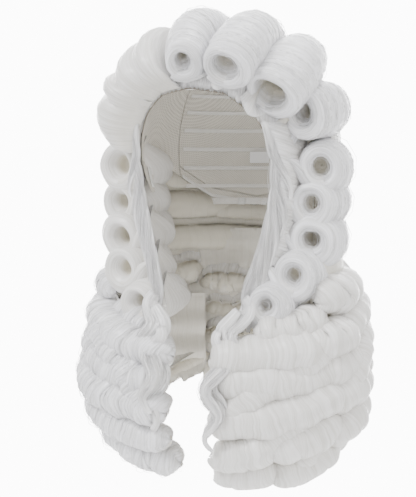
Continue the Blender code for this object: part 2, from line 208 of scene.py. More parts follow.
@dataclass
class Sheet:
    """One sheet of combed fibre.

    Attributes:
        grid: its middle surface, rows along the hair, columns across it, rows by columns by 3.
        thickness: how thick it is in the middle.
        tuck: how hidden each point is, from 0 to 1, rows by columns, which sets how much painted shade it
            gets.
        seed: picks its grooves and fibres.
        groove: depth of the combing.
        clump: width of the widest lock in it.
        fibres: how many single fibres lie over it.
        lift: how far those fibres stand off it.
        tresses: how many slender raised locks lie on it.
        relief: how far those locks stand off it.
    """

    grid: Array
    thickness: float = 0.004
    tuck: Array | float = 0.0
    seed: int = 1
    groove: float = 0.0010
    clump: float = 0.0075
    fibres: int = 20
    lift: float = 0.0006
    tresses: int = 0
    relief: float = 0.0012

    def arrays(self) -> Arrays:
        """The sheet's points, quads, uv and tuck, with its fibres.

        The middle surface moves out along its normal by the grooves, and half the thickness to each
        side of it makes the two faces, which meet at the edges.
        """
        grid = self.grid
        rows, columns = grid.shape[:2]
        down = np.gradient(grid, axis=0)
        across = np.gradient(grid, axis=1)
        normal = unit(np.cross(across, down))
        width = np.concatenate([[0], np.cumsum(np.linalg.norm(across[:, 1:], axis=2).mean(axis=0))])
        length = np.concatenate([[0], np.cumsum(np.linalg.norm(down[1:], axis=2).mean(axis=1))])
        tuck = np.broadcast_to(np.asarray(self.tuck, float), (rows, columns))
        u = np.linspace(0, 1, columns)[None, :]
        v = np.linspace(0, 1, rows)[:, None]
        edge = np.minimum(1 - np.abs(2 * u - 1) ** 8, (1 - np.abs(2 * v - 1) ** 20))
        half = 0.5 * self.thickness * np.sqrt(np.clip(edge, 0.0006, 1))
        ridges = self.ridges(width[None, :], length[:, None]) * np.sqrt(np.clip(edge, 0.05, 1))
        outer = grid + normal * (half + ridges)[..., None]
        inner = grid - normal * (half - 0.5 * ridges)[..., None]
        index = np.arange(rows * columns).reshape(rows, columns)
        shift = rows * columns
        quads = [strip(index), strip(index + shift)[:, ::-1]]
        for line in (index[0], index[-1][::-1], index[:, 0][::-1], index[:, -1]):
            quads.append(np.stack([line[1:], line[:-1], line[:-1] + shift, line[1:] + shift], axis=1))
        points = np.concatenate([outer.reshape(-1, 3), inner.reshape(-1, 3)])
        uv = np.stack(np.broadcast_arrays(width[None, :] + 0.31 * self.seed, length[:, None]), axis=-1)
        uv = np.concatenate([uv.reshape(-1, 2)] * 2)
        # The inner face gets 0.35 more painted shade than the outer face.
        hidden = np.concatenate([tuck.ravel(), np.clip(tuck.ravel() + 0.35, 0, 1)])
        parts = [(points, np.concatenate(quads), uv, hidden)]
        if self.tresses:
            parts.append(self.raised_locks(outer, normal, tuck, width[-1]))
        if self.fibres:
            parts.append(self.single_fibres(outer, normal, tuck))
        return join(parts)

    def ridges(self, across: Array, along: Array) -> Array:
        """Height of the combing: three sizes of rounded lock side by side, each drifting along the hair."""
        rng = np.random.default_rng(self.seed)
        height = np.zeros(np.broadcast(across, along).shape)
        for share, size, drift in ((1.0, self.clump, 0.35), (0.45, self.clump * 0.42, 0.5),
                                   (0.25, self.clump * 0.2, 0.6)):
            phase = rng.random(3)
            sway = drift * np.sin(2 * np.pi * (along / 0.07 + phase[1])) * np.sin(40 * across + 6 * phase[2])
            uneven = 0.35 * np.sin(2 * np.pi * (across / (2.7 * size) + phase[2]))
            rounded = np.abs(np.sin(np.pi * (across / size + phase[0] + uneven + sway))) ** 0.7
            height += share * (rounded - 0.65)
        return self.groove * height

    def single_fibres(self, surface: Array, normal: Array, tuck: Array) -> Arrays:
        """Thin three-sided fibres that follow the surface's rows at random places across it."""
        rng = np.random.default_rng(self.seed + 500)
        count, steps, sides = self.fibres, 10, 3
        s = np.linspace(0, 1, steps)[None, :]
        start = rng.uniform(0.0, 0.35, (count, 1))
        v = start + (rng.uniform(0.65, 1.0, (count, 1)) - start) * s
        at = rng.random((count, 1))
        u = np.clip(at + rng.normal(0, 0.012, (count, 1)) * np.sin(5 * v + 6 * at), 0, 1)
        bow = np.sin(np.pi * s)
        stray = self.lift * rng.exponential(1.0, (count, 1)).clip(0, 5)
        out = unit(between(normal, v, u))
        path = between(surface, v, u) + out * (0.0002 + stray * bow)[..., None]
        side = unit(np.cross(unit(np.gradient(path, axis=1)), out))
        size = (rng.uniform(0.00014, 0.00026, (count, 1)) * (0.25 + 0.75 * bow))[..., None]
        tube = np.stack([path + size * (np.cos(t) * side + np.sin(t) * out)
                         for t in np.radians([90, 210, 330])], axis=2)
        index = np.arange(count * steps * sides).reshape(count, steps, sides)
        a, b = index[:, :-1], index[:, 1:]
        quads = np.stack([a, np.roll(a, -1, axis=2), np.roll(b, -1, axis=2), b], axis=-1).reshape(-1, 4)
        uv = np.stack([np.broadcast_to(at * 0.05, v.shape), v * 0.1], axis=-1)
        # Single fibres get most of the painted shade of the surface under them.
        hidden = np.repeat(between(tuck[..., None], v, u)[..., 0].ravel() * 0.8, sides)
        return tube.reshape(-1, 3), quads, np.repeat(uv.reshape(-1, 2), sides, axis=0), hidden

    def raised_locks(self, surface: Array, normal: Array, tuck: Array, breadth: float) -> Arrays:
        """Slender half-round locks laid on the surface along its rows, pointed at both ends.

        Each is a run of arches of six points, whose feet sit just under the surface, with a flat
        underside from foot to foot.
        """
        rng = np.random.default_rng(self.seed + 900)
        count, steps, points = self.tresses, 12, 6
        s = np.linspace(0, 1, steps)[None, :]
        start = rng.uniform(0.0, 0.5, (count, 1))
        stop = np.minimum(start + rng.uniform(0.3, 0.7, (count, 1)), 1.0)
        v = start + (stop - start) * s
        half = rng.uniform(0.3, 1.0, (count, 1)) ** 1.5 * 0.42 * self.clump / breadth
        place = rng.uniform(0.04, 0.96, (count, 1))
        middle = place + 0.6 * half * np.sin(4 * v + 6.28 * rng.random((count, 1)))
        taper = np.sin(np.pi * s) ** 0.55 * np.ones_like(v) + 0.02
        k = np.linspace(-1, 1, points)
        u = np.clip(middle[..., None] + (half * taper)[..., None] * k, 0, 1)
        rows = np.broadcast_to(v[..., None], u.shape)
        rise = rng.uniform(0.5, 1.2, (count, 1)) * self.relief * np.sqrt(half * breadth / 0.003)
        high = (rise * taper)[..., None] * np.sqrt(1 - 0.98 * k ** 2) - 0.0005
        arch = between(surface, rows, u) + unit(between(normal, rows, u)) * high[..., None]
        index = np.arange(count * steps * points).reshape(count, steps, points)
        a, b = index[:, :-1], index[:, 1:]
        quads = [np.stack([a, np.roll(a, -1, axis=2), np.roll(b, -1, axis=2), b], axis=-1).reshape(-1, 4)]
        for ring, turn in ((index[:, 0], -1), (index[:, -1], 1)):
            for n in range(points // 2 - 1):
                end = ring[:, [n, n + 1, points - 2 - n, points - 1 - n]]
                quads.append(end[:, ::turn])
        uv = np.stack([u * breadth, rows * 0.12], axis=-1).reshape(-1, 2) + rng.random(2) * 0.01
        # Raised locks get most of the painted shade of the surface under them.
        hidden = between(tuck[..., None], rows, u)[..., 0].ravel() * 0.85
        return arch.reshape(-1, 3), np.concatenate(quads), uv, hidden


def between(grid: Array, v: Array, u: Array) -> Array:
    """Values of a grid at shares v of its rows and u of its columns, between its points."""
    rows, columns = grid.shape[:2]
    r, c = v * (rows - 1), u * (columns - 1)
    r0, c0 = np.minimum(r.astype(int), rows - 2), np.minimum(c.astype(int), columns - 2)
    fr, fc = (r - r0)[..., None], (c - c0)[..., None]
    return ((grid[r0, c0] * (1 - fc) + grid[r0, c0 + 1] * fc) * (1 - fr)
            + (grid[r0 + 1, c0] * (1 - fc) + grid[r0 + 1, c0 + 1] * fc) * fr)


def strip(index: Array) -> Array:
    """Quads between neighbouring entries of a grid of vertex numbers."""
    return np.stack([index[:-1, :-1], index[1:, :-1], index[1:, 1:], index[:-1, 1:]], axis=-1).reshape(-1, 4)


def join(parts: Sequence[Arrays]) -> Arrays:
    """Several sets of points, quads, uv and tuck as one."""
    points, quads, uv, tuck = zip(*parts)
    shifts = np.cumsum([0] + [len(p) for p in points[:-1]])
    return (np.concatenate(points), np.concatenate([q + shift for q, shift in zip(quads, shifts)]),
            np.concatenate(uv), np.concatenate(tuck))


def hair_piece(name: str, sheets: Sequence[Sheet], material: bpy.types.Material,
               nodes: Sequence[str] = ()) -> bpy.types.Object:
    """One object of one or more sheets, in place of the frame's nodes it stands for."""
    piece = build_mesh(name, *join([sheet.arrays() for sheet in sheets]))
    piece.data.materials.append(material)
    if nodes:
        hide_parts(*nodes)
    LOG.info("%s: %d faces", name, len(piece.data.polygons))
    return piece


@dataclass
class Roll:
    """Hair wound into a roll round an axis.

    Attributes:
        axis: points along the axis.
        outward: the direction of angle 0, one for the roll or one for each axis point.
        radius: radius along the axis, as a few values at equal steps.
        depth: size along outward as a share of the radius.
        start: angle in degrees where the winding begins, from outward towards up.
        sweep: degrees wound, negative to wind downwards.
        inner: radius left at the end of the winding, as a share.
        ragged: how unevenly the ends of the roll break off.
        wobble: how much the radius varies along the roll, as a share.
        rounded: how far the radius falls at the ends, as a share.
        spacing: metres from column to column.
        seed: picks its unevenness.
    """

    axis: Array
    outward: Array
    radius: Sequence[float]
    depth: float = 1.0
    start: float = -150.0
    sweep: float = 600.0
    inner: float = 0.5
    ragged: float = 0.0012
    wobble: float = 0.05
    rounded: float = 0.0
    spacing: float = 0.0013
    seed: int = 1

    def grid(self) -> tuple[Array, Array]:
        """The roll's middle surface and how tucked away it is, which sets its painted shade.

        At each place along the axis the hair follows a spiral whose radius falls from the full one to
        the inner one. Its seen part has more rows than what is wound underneath.
        """
        length = np.linalg.norm(np.diff(self.axis, axis=0), axis=1).sum()
        scale = 1.0 / DETAIL
        columns = int(np.clip(length / (self.spacing * scale), 16, 420))
        seen = min(1.0, SEEN_TURN / abs(self.sweep))
        hidden = max(4, int(abs(self.sweep) * (1 - seen) / (17 * scale)))
        w = np.concatenate([np.linspace(0, seen, int(27 / scale), endpoint=False),
                            np.linspace(seen, 1, hidden)])[:, None]
        centre = resample(self.axis, columns)
        along = unit(np.gradient(centre, axis=0))
        outward = np.atleast_2d(self.outward).astype(float)
        if len(outward) > 1:
            outward = np.stack([np.interp(np.linspace(0, 1, columns), np.linspace(0, 1, len(outward)),
                                          outward[:, i]) for i in range(3)], axis=-1)
        normal, up = square_to(along, outward)
        u = np.linspace(0, 1, columns)
        size = np.interp(u, np.linspace(0, 1, len(self.radius)), self.radius)
        size = size * (1 + self.wobble * wander(u * length / 0.06, self.seed))
        size = size * (1 - self.rounded * np.abs(2 * u - 1) ** max(2.5, length / 0.010))
        angle = np.radians(self.start + self.sweep * w)
        shrink = 1 - (1 - self.inner) * w ** 1.15
        slide = self.ragged * wander(w * 2.3, self.seed + 9) * 2
        spiral = wound(centre, normal, up, size[None, :] * shrink, self.depth, angle)
        turned = w * abs(self.sweep)
        # Painted shade where the hair is wound under, past 190 degrees, and half as much where the winding
        # starts.
        under = smooth((turned - 190) / 110) + 0.5 * (1 - smooth(turned / 55))
        return spiral + slide[..., None] * along[None], np.clip(under, 0, 1) * np.ones((1, columns))

    def sheet(self, thickness: float = 0.0045, **choices: float) -> Sheet:
        """The roll as a sheet of hair."""
        grid, tuck = self.grid()
        return Sheet(grid, thickness, tuck, seed=self.seed, **choices)


@dataclass
class Barrel:
    """A barrel curl: hair wound round an open bore, with a rounded lip at its front end.

    Attributes:
        axis: points along the bore, front end first.
        outward: the direction of angle 0, towards the side that the hair goes round last.
        radius: outer radius from front to back, as a few values at equal steps.
        hole: radius of the bore.
        cup: how deep the bore is before the hair closes it.
        lip: how far the front end bulges past the first axis point.
        root: the line that the hair comes from, its first point feeding the bore.
        leave: the direction in which the hair leaves the root.
        start: angle in degrees where the winding begins, from outward towards up.
        sweep: degrees wound.
        spiral: share of the radius that is lost over one turn.
        offset: how far the bore lies off the middle, upwards and inwards, as a share of the radius.
        reach: how far the hair runs straight out of its root, as a share of the way to the curl.
        wobble: how much the radius varies, as a share.
        depth: size along outward as a share of the radius.
        density: share of the usual number of points.
        seed: picks its unevenness.
    """

    axis: Array
    outward: Array
    radius: Sequence[float]
    hole: float
    root: Array
    leave: Array
    cup: float = 0.020
    lip: float = 0.006
    start: float = -165.0
    sweep: float = 430.0
    spiral: float = 0.24
    offset: float = 0.10
    reach: float = 0.6
    wobble: float = 0.085
    depth: float = 1.0
    density: float = 1.0
    seed: int = 1

    def grid(self) -> tuple[Array, Array]:
        """The curl's surface and how tucked away it is, which sets its painted shade.

        A profile runs up the bore, over the rounded lip and back along the outside. It turns round the
        axis while its distance from the axis shrinks a little, so that the hair spirals inwards, and
        each column of it starts at the root.
        """
        line = np.asarray(self.axis, float)
        length = np.linalg.norm(np.diff(line, axis=0), axis=1).sum()
        scale = grain() * self.density
        wall = np.mean(self.radius) - self.hole
        lip, cup, floor = self.lip / length, self.cup / length, -self.hole / wall
        plan = np.array([(cup, 0.97 * floor), (cup, 0.60 * floor), (0.75 * cup, 0.22 * floor),
                         (0.35 * cup, 0.04 * floor), (0.02 - 0.3 * lip, 0.10), (-0.9 * lip, 0.36),
                         (-1.0 * lip, 0.62), (-0.35 * lip, 0.88), (0.12, 1.0), (0.40, 1.03),
                         (0.75, 0.99), (0.97, 0.86), (1.04, 0.45), (1.05, 0.98 * floor)])
        plan = plan * (length, wall)
        columns = int(66 * scale)
        profile = resample(np.concatenate([plan, 0 * plan[:, :1]], axis=1), columns)
        along = profile[:, 0] / length
        full = np.interp(along, np.linspace(0, 1, len(self.radius)), self.radius)
        share = profile[:, 1] / wall
        outside = np.clip(share, 0, 1)
        span = np.where(share < 0, wall, full - self.hole)
        reach = np.maximum(self.hole + span * share, 0.0004)
        centre, tangent = self.along_axis(line, along, length)
        normal, up = square_to(tangent, self.outward)
        w = np.linspace(0, 1, int(52 * scale))[:, None]
        turned = np.abs(self.sweep) * w
        angle = np.radians(self.start + self.sweep * w)
        shrink = 1 + self.spiral * (0.5 - turned / 360) * (0.10 + 0.90 * outside)
        uneven = 1 + self.wobble * (wander(turned / 300 + 0 * share, self.seed) * 0.6
                                    + wander(share[None, :] * 0.8 + turned / 900, self.seed + 3))
        centre = centre + ((1 - outside) * self.offset * full)[:, None] * 0.7 * (up - normal)
        body = wound(centre, normal, up, reach[None, :] * shrink * uneven, self.depth, angle)
        # Painted shade down the bore, and a little more past 330 degrees of winding.
        bore = smooth((0.12 - share) / 0.3)[None, :]
        tuck = np.clip(bore + 0.2 * smooth((turned - 330) / 60), 0, 1)
        root = resample(self.root, columns)
        steps = max(6, int(14 * scale))
        t = np.linspace(0, 1, steps, endpoint=False)[:, None, None]
        gap = np.linalg.norm(body[0] - root, axis=-1, keepdims=True)
        leave = unit(np.broadcast_to(np.asarray(self.leave, float), root.shape)) * gap * self.reach
        turn = unit(np.gradient(body[:4], axis=0)[0]) * gap * 0.9
        lead = ((2 * t ** 3 - 3 * t ** 2 + 1) * root + (t ** 3 - 2 * t ** 2 + t) * leave
                + (3 * t ** 2 - 2 * t ** 3) * body[0] + (t ** 3 - t ** 2) * turn)
        # The lead-in takes the painted shade of the curl's first row towards the curl, with a little more at
        # the root.
        first = tuck[:1] * smooth(t[..., 0])
        first = np.clip(first + 0.15 * (1 - t[..., 0]), 0, 1)
        return np.concatenate([lead, body]), np.concatenate([first, tuck])

    @staticmethod
    def along_axis(line: Array, along: Array, length: float) -> tuple[Array, Array]:
        """Points and directions along the axis at shares of its length, also a little before its start."""
        fine = resample(line, 60)
        steps = np.linspace(0, 1, 60)
        slope = unit(np.gradient(fine, axis=0))
        inside = np.clip(along, 0, 1)
        centre = np.stack([np.interp(inside, steps, fine[:, i]) for i in range(3)], axis=-1)
        tangent = unit(np.stack([np.interp(inside, steps, slope[:, i]) for i in range(3)], axis=-1))
        return centre + tangent * (np.minimum(along, 0) * length)[:, None], tangent

    def sheet(self, thickness: float = 0.003, **choices: float) -> Sheet:
        """The curl as a sheet of hair."""
        grid, tuck = self.grid()
        return Sheet(grid, thickness, tuck, seed=self.seed, **choices)


def ribbon(path: Array, outward: Array, width: float, bulge: float, seed: int, fibres: int = 40) -> Sheet:
    """A narrow lock along a path, half round across.

    Args:
        path: points along the lock.
        outward: the direction that its round side faces.
        width: half its width.
        bulge: how far its middle stands out.
        seed: picks its grooves and fibres.
        fibres: how many single fibres lie over it.

    Returns:
        The lock, narrowed towards both ends.
    """
    scale = grain()
    length = np.linalg.norm(np.diff(path, axis=0), axis=1).sum()
    line = resample(path, max(12, int(length / 0.0022 * scale)))
    along = unit(np.gradient(line, axis=0))
    across = unit(np.cross(along, np.broadcast_to(outward, line.shape)))
    out = np.cross(across, along)
    t = np.linspace(0, 1, len(line))
    size = width * (0.35 + 0.65 * np.sin(np.pi * np.clip(t * 1.1 + 0.04, 0, 1)) ** 0.6)
    u = np.linspace(-1, 1, int(26 * scale) + 4)
    grid = (line[:, None] + across[:, None] * (size[:, None] * u)[..., None]
            + out[:, None] * (bulge * (size / width)[:, None] * (1 - u ** 2))[..., None])
    # The whole lock gets an even 0.15 of the warm grey that the tuck mask paints as shade.
    return Sheet(grid, 0.0024, 0.15, seed=seed, groove=0.0007, clump=0.005, fibres=fibres, lift=0.0008)


# ---------------------------------------------------------------- finishes


def add_node(tree: bpy.types.NodeTree, kind: str, given: dict[str | int, object],
             **settings: object) -> bpy.types.Node:
    """A new shader node.

    Args:
        tree: where it goes.
        kind: its type without the leading ShaderNode.
        given: what each input gets, which is a value or the socket that it is linked to.
        settings: the node's own choices, which are set first.

    Returns:
        The node.
    """
    node = tree.nodes.new(f"ShaderNode{kind}")
    for name, value in settings.items():
        setattr(node, name, value)
    feed(tree, node, given)
    return node


def feed(tree: bpy.types.NodeTree, node: bpy.types.Node, given: dict[str | int, object]) -> None:
    """Gives inputs of a node a value, or a link where the value is a socket."""
    for name, value in given.items():
        if isinstance(value, bpy.types.NodeSocket):
            tree.links.new(value, node.inputs[name])
        else:
            node.inputs[name].default_value = value


def mixed(tree: bpy.types.NodeTree, share: bpy.types.NodeSocket, one: object,
          other: object) -> bpy.types.NodeSocket:
    """A colour between two, each a socket or a red, green and blue."""
    first, second = ((*end, 1) if isinstance(end, tuple) else end for end in (one, other))
    mix = add_node(tree, "Mix", {"Factor": share, "A": first, "B": second}, data_type="RGBA")
    return mix.outputs["Result"]


def new_material(name: str) -> tuple[bpy.types.Material, bpy.types.NodeTree, bpy.types.Node]:
    """A material, its node tree and its shader."""
    material = bpy.data.materials.new(name)
    material.use_nodes = True
    return material, material.node_tree, material.node_tree.nodes["Principled BSDF"]


def new_group(name: str, given: dict[str, str]) -> tuple[bpy.types.NodeTree, bpy.types.NodeOutputs]:
    """A shader group with its inputs, by name and type, and the sockets that they come in at."""
    group = bpy.data.node_groups.new(name, "ShaderNodeTree")
    for socket, kind in given.items():
        group.interface.new_socket(socket, in_out="INPUT", socket_type=f"NodeSocket{kind}")
    return group, group.nodes.new("NodeGroupInput").outputs


def finish_group(group: bpy.types.NodeTree, made: dict[str, bpy.types.NodeSocket]) -> bpy.types.NodeTree:
    """Adds a group's outputs, by name."""
    for socket in made:
        group.interface.new_socket(socket, in_out="OUTPUT", socket_type="NodeSocketFloat")
    feed(group, group.nodes.new("NodeGroupOutput"), made)
    return group


def streak_group() -> bpy.types.NodeTree:
    """A shader group that turns uv metres into streaks along the hair, at two sizes."""
    group, given = new_group("combed_streaks", {"UV": "Vector", "Fine": "Float", "Broad": "Float"})
    waves = []
    for socket, run, detail in (("Fine", 26.0, 2.0), ("Broad", 9.0, 3.0)):
        scale = add_node(group, "CombineXYZ", {0: given[socket], 1: run})
        stretch = add_node(group, "VectorMath", {0: given["UV"], 1: scale.outputs[0]}, operation="MULTIPLY")
        noise = add_node(group, "TexNoise", {"Scale": 1.0, "Detail": detail, "Vector": stretch.outputs[0]})
        waves.append(noise.outputs["Fac"])
    both = add_node(group, "Math", {0: waves[0], 1: waves[1]}, operation="ADD").outputs[0]
    even = add_node(group, "MapRange", {"From Min": 0.75, "From Max": 1.25, "Value": both})
    return finish_group(group, {"Height": both, "Shade": even.outputs[0]})


@dataclass(frozen=True)
class HairFinish:
    """White synthetic fibre: cool where it is outside, with painted shade that turns it warm and greyer where
    the hair is tucked away.
    """

    name: str = "white_fibre"
    bright: tuple[float, float, float] = (0.90, 0.90, 0.93)
    dull: tuple[float, float, float] = (0.56, 0.556, 0.55)
    # Painted shade: the warm grey that stands for the shade in creases, bores and behind other hair.
    deep: tuple[float, float, float] = (0.66, 0.625, 0.53)
    roughness: tuple[float, float] = (0.24, 0.44)
    bump: float = 0.55

    def material(self, streaks: bpy.types.NodeTree) -> bpy.types.Material:
        """The finish as a material."""
        material, tree, shader = new_material(self.name)
        uv = add_node(tree, "UVMap", {}, uv_map="combed")
        combed = add_node(tree, "Group", {}, node_tree=streaks)
        feed(tree, combed, {"Fine": 1500.0, "Broad": 430.0, "UV": uv.outputs[0]})
        hidden = add_node(tree, "Attribute", {}, attribute_name="tuck")
        tint = mixed(tree, combed.outputs["Shade"], self.dull, self.bright)
        gloss = add_node(tree, "MapRange", {"To Min": self.roughness[1], "To Max": self.roughness[0],
                                            "Value": combed.outputs["Shade"]})
        bump = add_node(tree, "Bump", {"Strength": self.bump, "Distance": 0.0004,
                                       "Height": combed.outputs["Height"]})
        # The tuck attribute mixes the painted shade colour over the streaked fibre colour.
        feed(tree, shader, {"Base Color": mixed(tree, hidden.outputs["Fac"], tint, self.deep),
                            "Roughness": gloss.outputs[0], "Normal": bump.outputs[0],
                            "Sheen Weight": 0.15, "Specular IOR Level": 0.5})
        return material


# ---------------------------------------------------------------- hair


def face_edge(side: Side, heights: Array) -> Array:
    """Points on the edge of the hair beside the face at given heights."""
    line = resample(np.array(FACE_EDGE), 60)
    order = np.argsort(line[:, 2])
    found = np.stack([np.interp(heights, line[order, 2], line[order, i]) for i in range(3)], axis=-1)
    return found * (side.value, 1, 1)


@dataclass
class SideCurls:
    """The column of open barrel curls beside the face, each fed from the edge of the hair."""

    side: Side
    fibre: bpy.types.Material
    growth: tuple[float, ...] = (1.62, 1.50, 1.54, 1.52, 1.62)
    holes: tuple[float, ...] = (0.0112, 0.0100, 0.0098, 0.0092, 0.0082)
    count: int = 5

    def build(self) -> None:
        """Makes the curls."""
        for number in range(1, self.count + 1):
            node = f"{self.side.word}_side_curl_{number}"
            low, high = (np.array(v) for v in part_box(node))
            sign = self.side.value
            half = 0.5 * (high[2] - low[2])
            radius = half * self.growth[number - 1]
            height = 0.5 * (high[2] + low[2])
            outer = (high[0] if sign > 0 else low[0]) - sign * half
            swing = 0.0025 * np.sin(2.4 * number + sign)
            front = np.array([outer - sign * 0.002 + swing, low[1] - 0.006, height + 0.001])
            back = np.array([outer - sign * 0.012, high[1] + 0.018, height + 0.007])
            middle = 0.5 * (front + back) + (sign * 0.002, 0, 0)
            edge = face_edge(self.side, height + radius * np.array([0.35, 0.75, 1.35]))
            root = edge + np.array([(0, 0, 0), (sign * 0.001, 0.004, 0), (sign * 0.004, 0.022, 0)])
            rng = np.random.default_rng(700 + number + (20 if sign < 0 else 0))
            front = front + rng.uniform(-1, 1, 3) * (0.0035, 0.003, 0.0025)
            curl = Barrel(np.stack([front, middle, back]), np.array([sign, 0.12, 0.0]),
                          (radius, radius * 1.03, radius, radius * 0.85), self.holes[number - 1], root,
                          np.array([sign, -0.55, -0.45]), lip=rng.uniform(0.005, 0.009),
                          start=-160.0, sweep=rng.uniform(420, 450), cup=rng.uniform(0.012, 0.020),
                          depth=rng.uniform(0.92, 1.06),
                          seed=40 + number + (10 if sign < 0 else 0))
            sheet = curl.sheet(0.003, fibres=70, lift=0.0010, tresses=34, clump=0.009)
            piece = hair_piece(f"{node}_hair", [sheet], self.fibre, [node])
            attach(piece, f"{self.side.word}_fall" if number == self.count else "cap")


@dataclass
class FrontRolls:
    """The rolls that run from above the forehead back over the crown, and the curl at each temple."""

    fibre: bpy.types.Material

    def roll(self, name: str, axis: Sequence[tuple], radius: Sequence[float], hole: float,
             root: Sequence[tuple], leave: tuple, outward: tuple = (1.0, 0.0, 0.0), fibres: int = 90,
             **choices: float) -> None:
        """One roll from its plan."""
        curl = Barrel(np.array(axis), np.array(outward), radius, hole, np.array(root), np.array(leave),
                      density=1.15, **choices)
        sheets = [curl.sheet(0.003, fibres=fibres, clump=0.015, groove=0.0007, lift=0.0008, tresses=44)]
        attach(hair_piece(f"{name}_hair", sheets, self.fibre, [name]), "cap")

    def wave(self, name: str, roots: tuple[float, float], ends: tuple[float, float],
             heights: tuple[float, float], lift: float, crest: float, seed: int) -> None:
        """Hair swept off the hairline in a high wave that bulges outwards and runs back.

        Args:
            name: the frame's node that it stands for.
            roots: azimuths of the hairline where the first and last strands start.
            ends: azimuths where they end.
            heights: elevations where they end.
            lift: how far the crest stands off the head.
            crest: share of the strand's length where the crest is.
            seed: picks its grooves.
        """
        scale = grain()
        u = np.linspace(0, 1, int(100 * scale))[None, :]
        t = np.linspace(0, 1, int(70 * scale))[:, None]
        root = roots[0] + (roots[1] - roots[0]) * u
        turn = root + (ends[0] + (ends[1] - ends[0]) * u - root) * t ** 1.25
        low = cap_edge(root) + 0.8
        elevation = low + (heights[0] + (heights[1] - heights[0]) * u - low) * smooth(t) ** 0.9
        profile = np.sin(np.pi * np.clip(t, 0, 1) ** (np.log(0.5) / np.log(crest))) ** 0.62
        shifted = u + 0.05 * np.sin(3.0 * t + seed)
        lobes = np.clip(0.80 + 0.20 * np.abs(np.sin(np.pi * (2.0 * shifted + 0.02))) ** 0.6, 0, 1)
        ends_in = (1 - np.abs(2 * u - 1) ** 9) ** 0.5
        crests = lift * lobes * (0.25 + 0.75 * ends_in) + 0.0012 * wander(u * 2 + t * 0.6, seed)
        high = 0.003 + crests * profile + 0.010 * smooth(t * 1.4 - 0.4)
        forward = (profile * (1 - t) ** 1.5)[..., None]
        grid = on_head(turn, elevation, high) + np.array([0.0, -0.010, -0.006]) * forward
        # Painted shade at the roots on the hairline and towards the far ends of the strands.
        tuck = 0.30 * (1 - smooth(t * 7)) + 0.25 * smooth(t * 3 - 2)
        sheet = Sheet(grid, 0.0035, tuck, seed=seed, groove=0.0014, clump=0.011, fibres=140, lift=0.0012,
                      tresses=80)
        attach(hair_piece(f"{name}_hair", [sheet], self.fibre, [name]), "cap")

    def build(self) -> None:
        """Makes every roll."""
        self.roll("front_centre_roll",
                  axis=[(0.003, -0.097, -0.012), (-0.004, -0.072, 0.006), (-0.005, -0.032, 0.017),
                        (-0.001, 0.022, 0.014)],
                  radius=(0.0205, 0.0238, 0.0232, 0.018), hole=0.0088,
                  root=[(-0.004, -0.083, -0.034), (0.020, -0.078, -0.024), (0.024, -0.020, 0.004)],
                  leave=(0.3, -0.5, 0.4), outward=(1.0, 0.5, 0.0), start=-120.0, sweep=400.0, lip=0.007,
                  depth=0.86, seed=3)
        self.roll("left_front_roll",
                  axis=[(0.045, -0.093, -0.017), (0.046, -0.067, 0.002), (0.043, -0.026, 0.014),
                        (0.039, 0.022, 0.008)],
                  radius=(0.0242, 0.0252, 0.0238, 0.018), hole=0.0112,
                  root=[(0.022, -0.080, -0.036), (0.034, -0.078, -0.038), (0.064, -0.010, -0.008)],
                  leave=(0.25, -0.7, 0.3), start=-150.0, sweep=420.0, lip=0.008, seed=5)
        self.roll("left_swept_roll",
                  axis=[(0.078, -0.066, -0.042), (0.083, -0.042, -0.020), (0.080, -0.006, -0.006),
                        (0.071, 0.028, -0.006)],
                  radius=(0.0262, 0.0272, 0.0238, 0.017), hole=0.0170,
                  root=[(0.046, -0.070, -0.046), (0.060, -0.064, -0.064), (0.088, 0.000, -0.040)],
                  leave=(0.6, -0.6, -0.1), start=-150.0, sweep=400.0, lip=0.005, cup=0.034, seed=7)
        self.wave("right_front_roll", (-7.0, -43.0), (-58.0, -98.0), (68.0, 46.0), 0.0430, 0.42, 61)
        self.wave("right_swept_roll", (-38.0, -62.5), (-96.0, -112.0), (40.0, 22.0), 0.0450, 0.40, 64)
        for side in Side:
            s = side.value
            self.roll(f"{side.word}_temple_curl",
                      axis=[(s * 0.099, -0.034, -0.060), (s * 0.104, -0.012, -0.056),
                            (s * 0.100, 0.030, -0.052)],
                      radius=(0.0225, 0.0235, 0.019), hole=0.0105,
                      root=[(s * 0.068, -0.050, -0.082), (s * 0.071, -0.046, -0.070),
                            (s * 0.090, 0.010, -0.062)],
                      leave=(s * 0.8, -0.6, -0.3), outward=(s, 0.1, 0.0), start=-158.0, sweep=430.0,
                      lip=0.007, seed=17 if s > 0 else 19)


